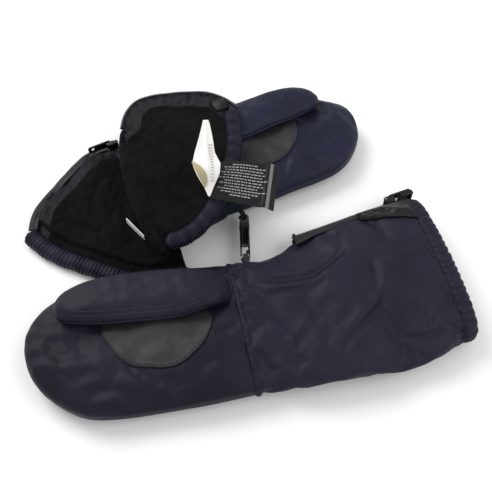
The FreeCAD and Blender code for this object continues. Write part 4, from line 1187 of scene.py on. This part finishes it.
def right_mitten():
    hand = build_hand("right", RIGHT_HAND, RIGHT_LEAN, 1.0, 0.0, right_hand_shape, NYLON, 2)
    surface = Surface(hand)
    pad, lip, sewn = build_thumb("right", RIGHT_HAND, RIGHT_LEAN, 18.6, NYLON, THREAD, 6, 17, 101)
    patch, patch_sewn = build_patch(
        "right", RIGHT_HAND, surface,
        [(81.0, 8.0), (75.9, -3.4), (69.9, -12.4), (54.6, -19.5), (43.3, -21.4), (30.8, -16.0),
         (19.1, -4.1), (16.0, 4.5)],
        [(80.0, 15.0), (68.0, 14.0), (50.0, 13.0), (34.0, 11.0), (18.0, 9.0)])
    cuff = build_right_cuff()
    hem, welt, lining = build_right_hem()
    tape_palm, tape_back, coil, cover = build_right_zip(cuff)
    seam = band_round("right_wrist_band", RIGHT_CUFF, cuff_rows(143), -0.6, 3.2, 0.7, RIGHT_LEAN,
                      (0.95, 0.85), NYLON)
    wrist = ("right_cuff", "right_hand")
    bend = dict(start=world_metres(RIGHT_CUFF, 9, 0, 12), end=world_metres(RIGHT_CUFF, -5, 0, 12))
    finish_piece(hand, "shell_cloth", wrist, ("right_hand_shell", "right_hand_wadding", "right_hand_lining"),
                 0.6, **bend)
    finish_piece(cuff, "shell_cloth", wrist, ("right_cuff_shell", "right_cuff_wadding"), 0.5, **bend)
    finish_piece(seam, "elastic", wrist, ("right_wrist_elastic",), None, **bend)
    finish_piece(lining, "fleece", "right_cuff", ("right_cuff_lining",), 0.5)
    finish_piece(hem, "shell_cloth", "right_cuff", ("right_hem_band", "right_hem_elastic"), 0.6)
    finish_piece(welt, "shell_cloth", "right_cuff")
    finish_piece(tape_palm, "zip_tape", "right_cuff", ("right_zip_tape_palm",))
    finish_piece(tape_back, "zip_tape", "right_cuff", ("right_zip_tape_back",))
    finish_piece(coil, "zip_coil", "right_cuff", ("right_zip_coil",))
    finish_piece(cover, "shell_cloth", "right_cuff", (), 0.4)
    finish_piece(patch, "grip_patch", "right_hand", ("right_palm_patch",))
    finish_piece(patch_sewn, "shell_cloth", "right_hand")
    fold = dict(start=world_metres(RIGHT_HAND, 20, 19, 30), end=world_metres(RIGHT_HAND, 34, 19, 30))
    thumb = ("right_hand", "right_thumb")
    finish_piece(pad, "shell_cloth", thumb, ("right_thumb_shell", "right_thumb_wadding", "right_thumb_lining",
                                             "right_thumb_gusset"), 0.6, **fold)
    finish_piece(lip, "shell_cloth", thumb, (), None, **fold)
    finish_piece(sewn, "shell_cloth", thumb, (), None, **fold)


def left_mitten():
    hand = build_hand("left", LEFT, 0.0, 0.93, 3.0, left_hand_shape, NYLON_LIGHT_TINTED, 3)
    surface = Surface(hand)
    pad_piece, lip, sewn = build_thumb("left", LEFT, 0.0, 20.6, NYLON_LIGHT_TINTED, THREAD, 8, 17, 101)
    patch, patch_sewn = build_patch(
        "left", LEFT, surface,
        [(80.0, 4.0), (75.0, -6.0), (66.0, -15.0), (53.0, -20.5), (40.0, -19.5), (28.0, -13.0), (20.0, -3.0)],
        [(79.0, 12.0), (60.0, 13.0), (42.0, 12.0), (22.0, 9.0)])
    cuff, lining = build_left_cuff()
    flap, roll = build_flap()
    back = build_back()
    flap_hem = hem_band("left_flap_gathers", FLAP, FLAP_HEM, 3.9, 5.4, 4.3, 1.9, 0.24, 71, NYLON_PURPLE, 4.2)
    back_hem = hem_band("left_back_gathers", BACK, BACK_HEM, 4.3, 5.4, 4.4, 2.6, 0.24, 72, NYLON_PURPLE, 4.2)
    flap_tape, flap_coil = rim_zip("left_flap_zip", FLAP, FLAP_RIM, 4.2, 73)
    back_tape, back_coil = rim_zip("left_back_zip", BACK, BACK_RIM, 4.4, 74)
    care, care_print = build_care_label()
    size, size_print, size_inside = build_size_label()
    cover = build_left_cover()
    for piece, slot, body, nodes, fill in (
            (hand, "shell_cloth", "left_mitten",
             ("left_hand_shell", "left_hand_wadding", "left_hand_lining"), 0.6),
            (cuff, "shell_cloth", "left_mitten",
             ("left_cuff_shell", "left_cuff_wadding", "left_wrist_elastic"), 0.4),
            (lining, "fleece", "left_mitten", ("left_cuff_lining",), 0.4),
            (back, "fleece", "left_mitten", ("left_back_shell", "left_back_wadding", "left_back_lining"), 0.5),
            (back_hem, "shell_cloth", "left_mitten", ("left_back_hem_band", "left_back_hem_elastic"), 0.6),
            (back_tape, "zip_tape", "left_mitten", ("left_back_zip_tape",), None),
            (back_coil, "zip_coil", "left_mitten", ("left_back_zip_coil",), None),
            (patch, "grip_patch", "left_mitten", ("left_palm_patch",), None),
            (patch_sewn, "shell_cloth", "left_mitten", (), None),
            (flap_hem, "shell_cloth", "left_flap", ("left_flap_hem_band", "left_flap_hem_elastic"), 0.6),
            (flap_tape, "zip_tape", "left_flap", ("left_flap_zip_tape",), None),
            (flap_coil, "zip_coil", "left_flap", ("left_flap_zip_coil",), None),
            (flap, "fleece", "left_flap", ("left_flap_shell", "left_flap_wadding", "left_flap_lining"), 0.5),
            (care_print, "satin_label", "care_tag", (), None),
            (size_print, "white_label", "size_tag", (), None),
            (size_inside, "white_label", "size_tag", (), None),
            (cover, "shell_cloth", "left_flap", ("left_zip_garage",), 0.4),
            (care, "satin_label", "care_tag", ("care_label",), None),
            (size, "white_label", "size_tag", ("size_label",), None)):
        finish_piece(piece, slot, body, nodes, fill)
    finish_piece(roll, "fleece", ("left_mitten", "left_flap"), (), 0.5,
                 start=tuple((FOLD + (0, 0, -3.0)) * MM), end=tuple((FOLD + (0, 0, 3.5)) * MM))
    fold = dict(start=world_metres(LEFT, 40, 20, 30), end=world_metres(LEFT, 54, 20, 30))
    thumb = ("left_mitten", "left_thumb")
    finish_piece(pad_piece, "shell_cloth", thumb, ("left_thumb_shell", "left_thumb_wadding", "left_thumb_lining",
                                                   "left_thumb_gusset"), 0.6, **fold)
    finish_piece(lip, "shell_cloth", thumb, (), None, **fold)
    finish_piece(sewn, "shell_cloth", thumb, (), None, **fold)


# ---------------------------------------------------------------- camera, floor and light

CAMERA_FROM_WRIST = np.array([-32.1, -159.6, 341.2])
CAMERA_WAY, CAMERA_RIGHT = Vector((0.121, 0.546, -0.829)), Vector((0.976, -0.216, 0.0))
LENS = 43.9


def set_camera():
    data = bpy.data.cameras.new("camera")
    data.lens = LENS
    data.sensor_width = 36
    data.clip_start, data.clip_end = 0.01, 20
    camera = bpy.data.objects.new("camera", data)
    bpy.context.scene.collection.objects.link(camera)
    way, right = CAMERA_WAY.normalized(), CAMERA_RIGHT.normalized()
    up = right.cross(way)
    turn = Matrix((right, up, -way)).transposed().to_4x4()
    camera.matrix_world = Matrix.Translation(Vector((WRIST + CAMERA_FROM_WRIST) * MM)) @ turn
    bpy.context.scene.camera = camera


def add_light(name, place, target, size, power, colour=(1, 1, 1)):
    data = bpy.data.lights.new(name, "AREA")
    data.shape, data.size = "DISK", size
    data.energy, data.color = power, colour
    light = bpy.data.objects.new(name, data)
    bpy.context.scene.collection.objects.link(light)
    way = Vector(place) - Vector(target)
    light.rotation_euler = way.to_track_quat("Z", "Y").to_euler()
    light.location = place
    return light


def studio():
    material, _, _ = principled("white_floor", (0.93, 0.93, 0.93), 0.9)
    floor = new_piece("studio_floor", [(-9000, -9000, 0), (9000, -9000, 0), (9000, 9000, 0), (-9000, 9000, 0)],
                      [(0, 1, 2, 3)], material, smooth=False)
    world = bpy.data.worlds.new("studio")
    bpy.context.scene.world = world
    world.use_nodes = True
    background = world.node_tree.nodes["Background"]
    background.inputs["Color"].default_value = (1.0, 1.0, 1.0, 1)
    background.inputs["Strength"].default_value = 0.72
    add_light("key", (-0.65, 0.85, 1.10), (0, 0, 0), 0.9, 13)
    add_light("fill", (0.9, -0.5, 1.0), (0, 0, 0), 1.0, 5)
    scene = bpy.context.scene
    scene.view_settings.view_transform = "Standard"
    scene.view_settings.exposure = 0.0


def hardware():
    finish_piece(build_clip(), "clip_plastic", "clip", ("clip_body",))
    for side in ("right", "left"):
        slider, pull = build_slider(side)
        finish_piece(slider, "zip_metal", f"{side}_slider", (f"{side}_zip_slider",))
        finish_piece(pull, "zip_metal", f"{side}_pull", (f"{side}_zip_pull",))


dress_hard_parts()
hardware()
right_mitten()
left_mitten()
studio()
set_camera()
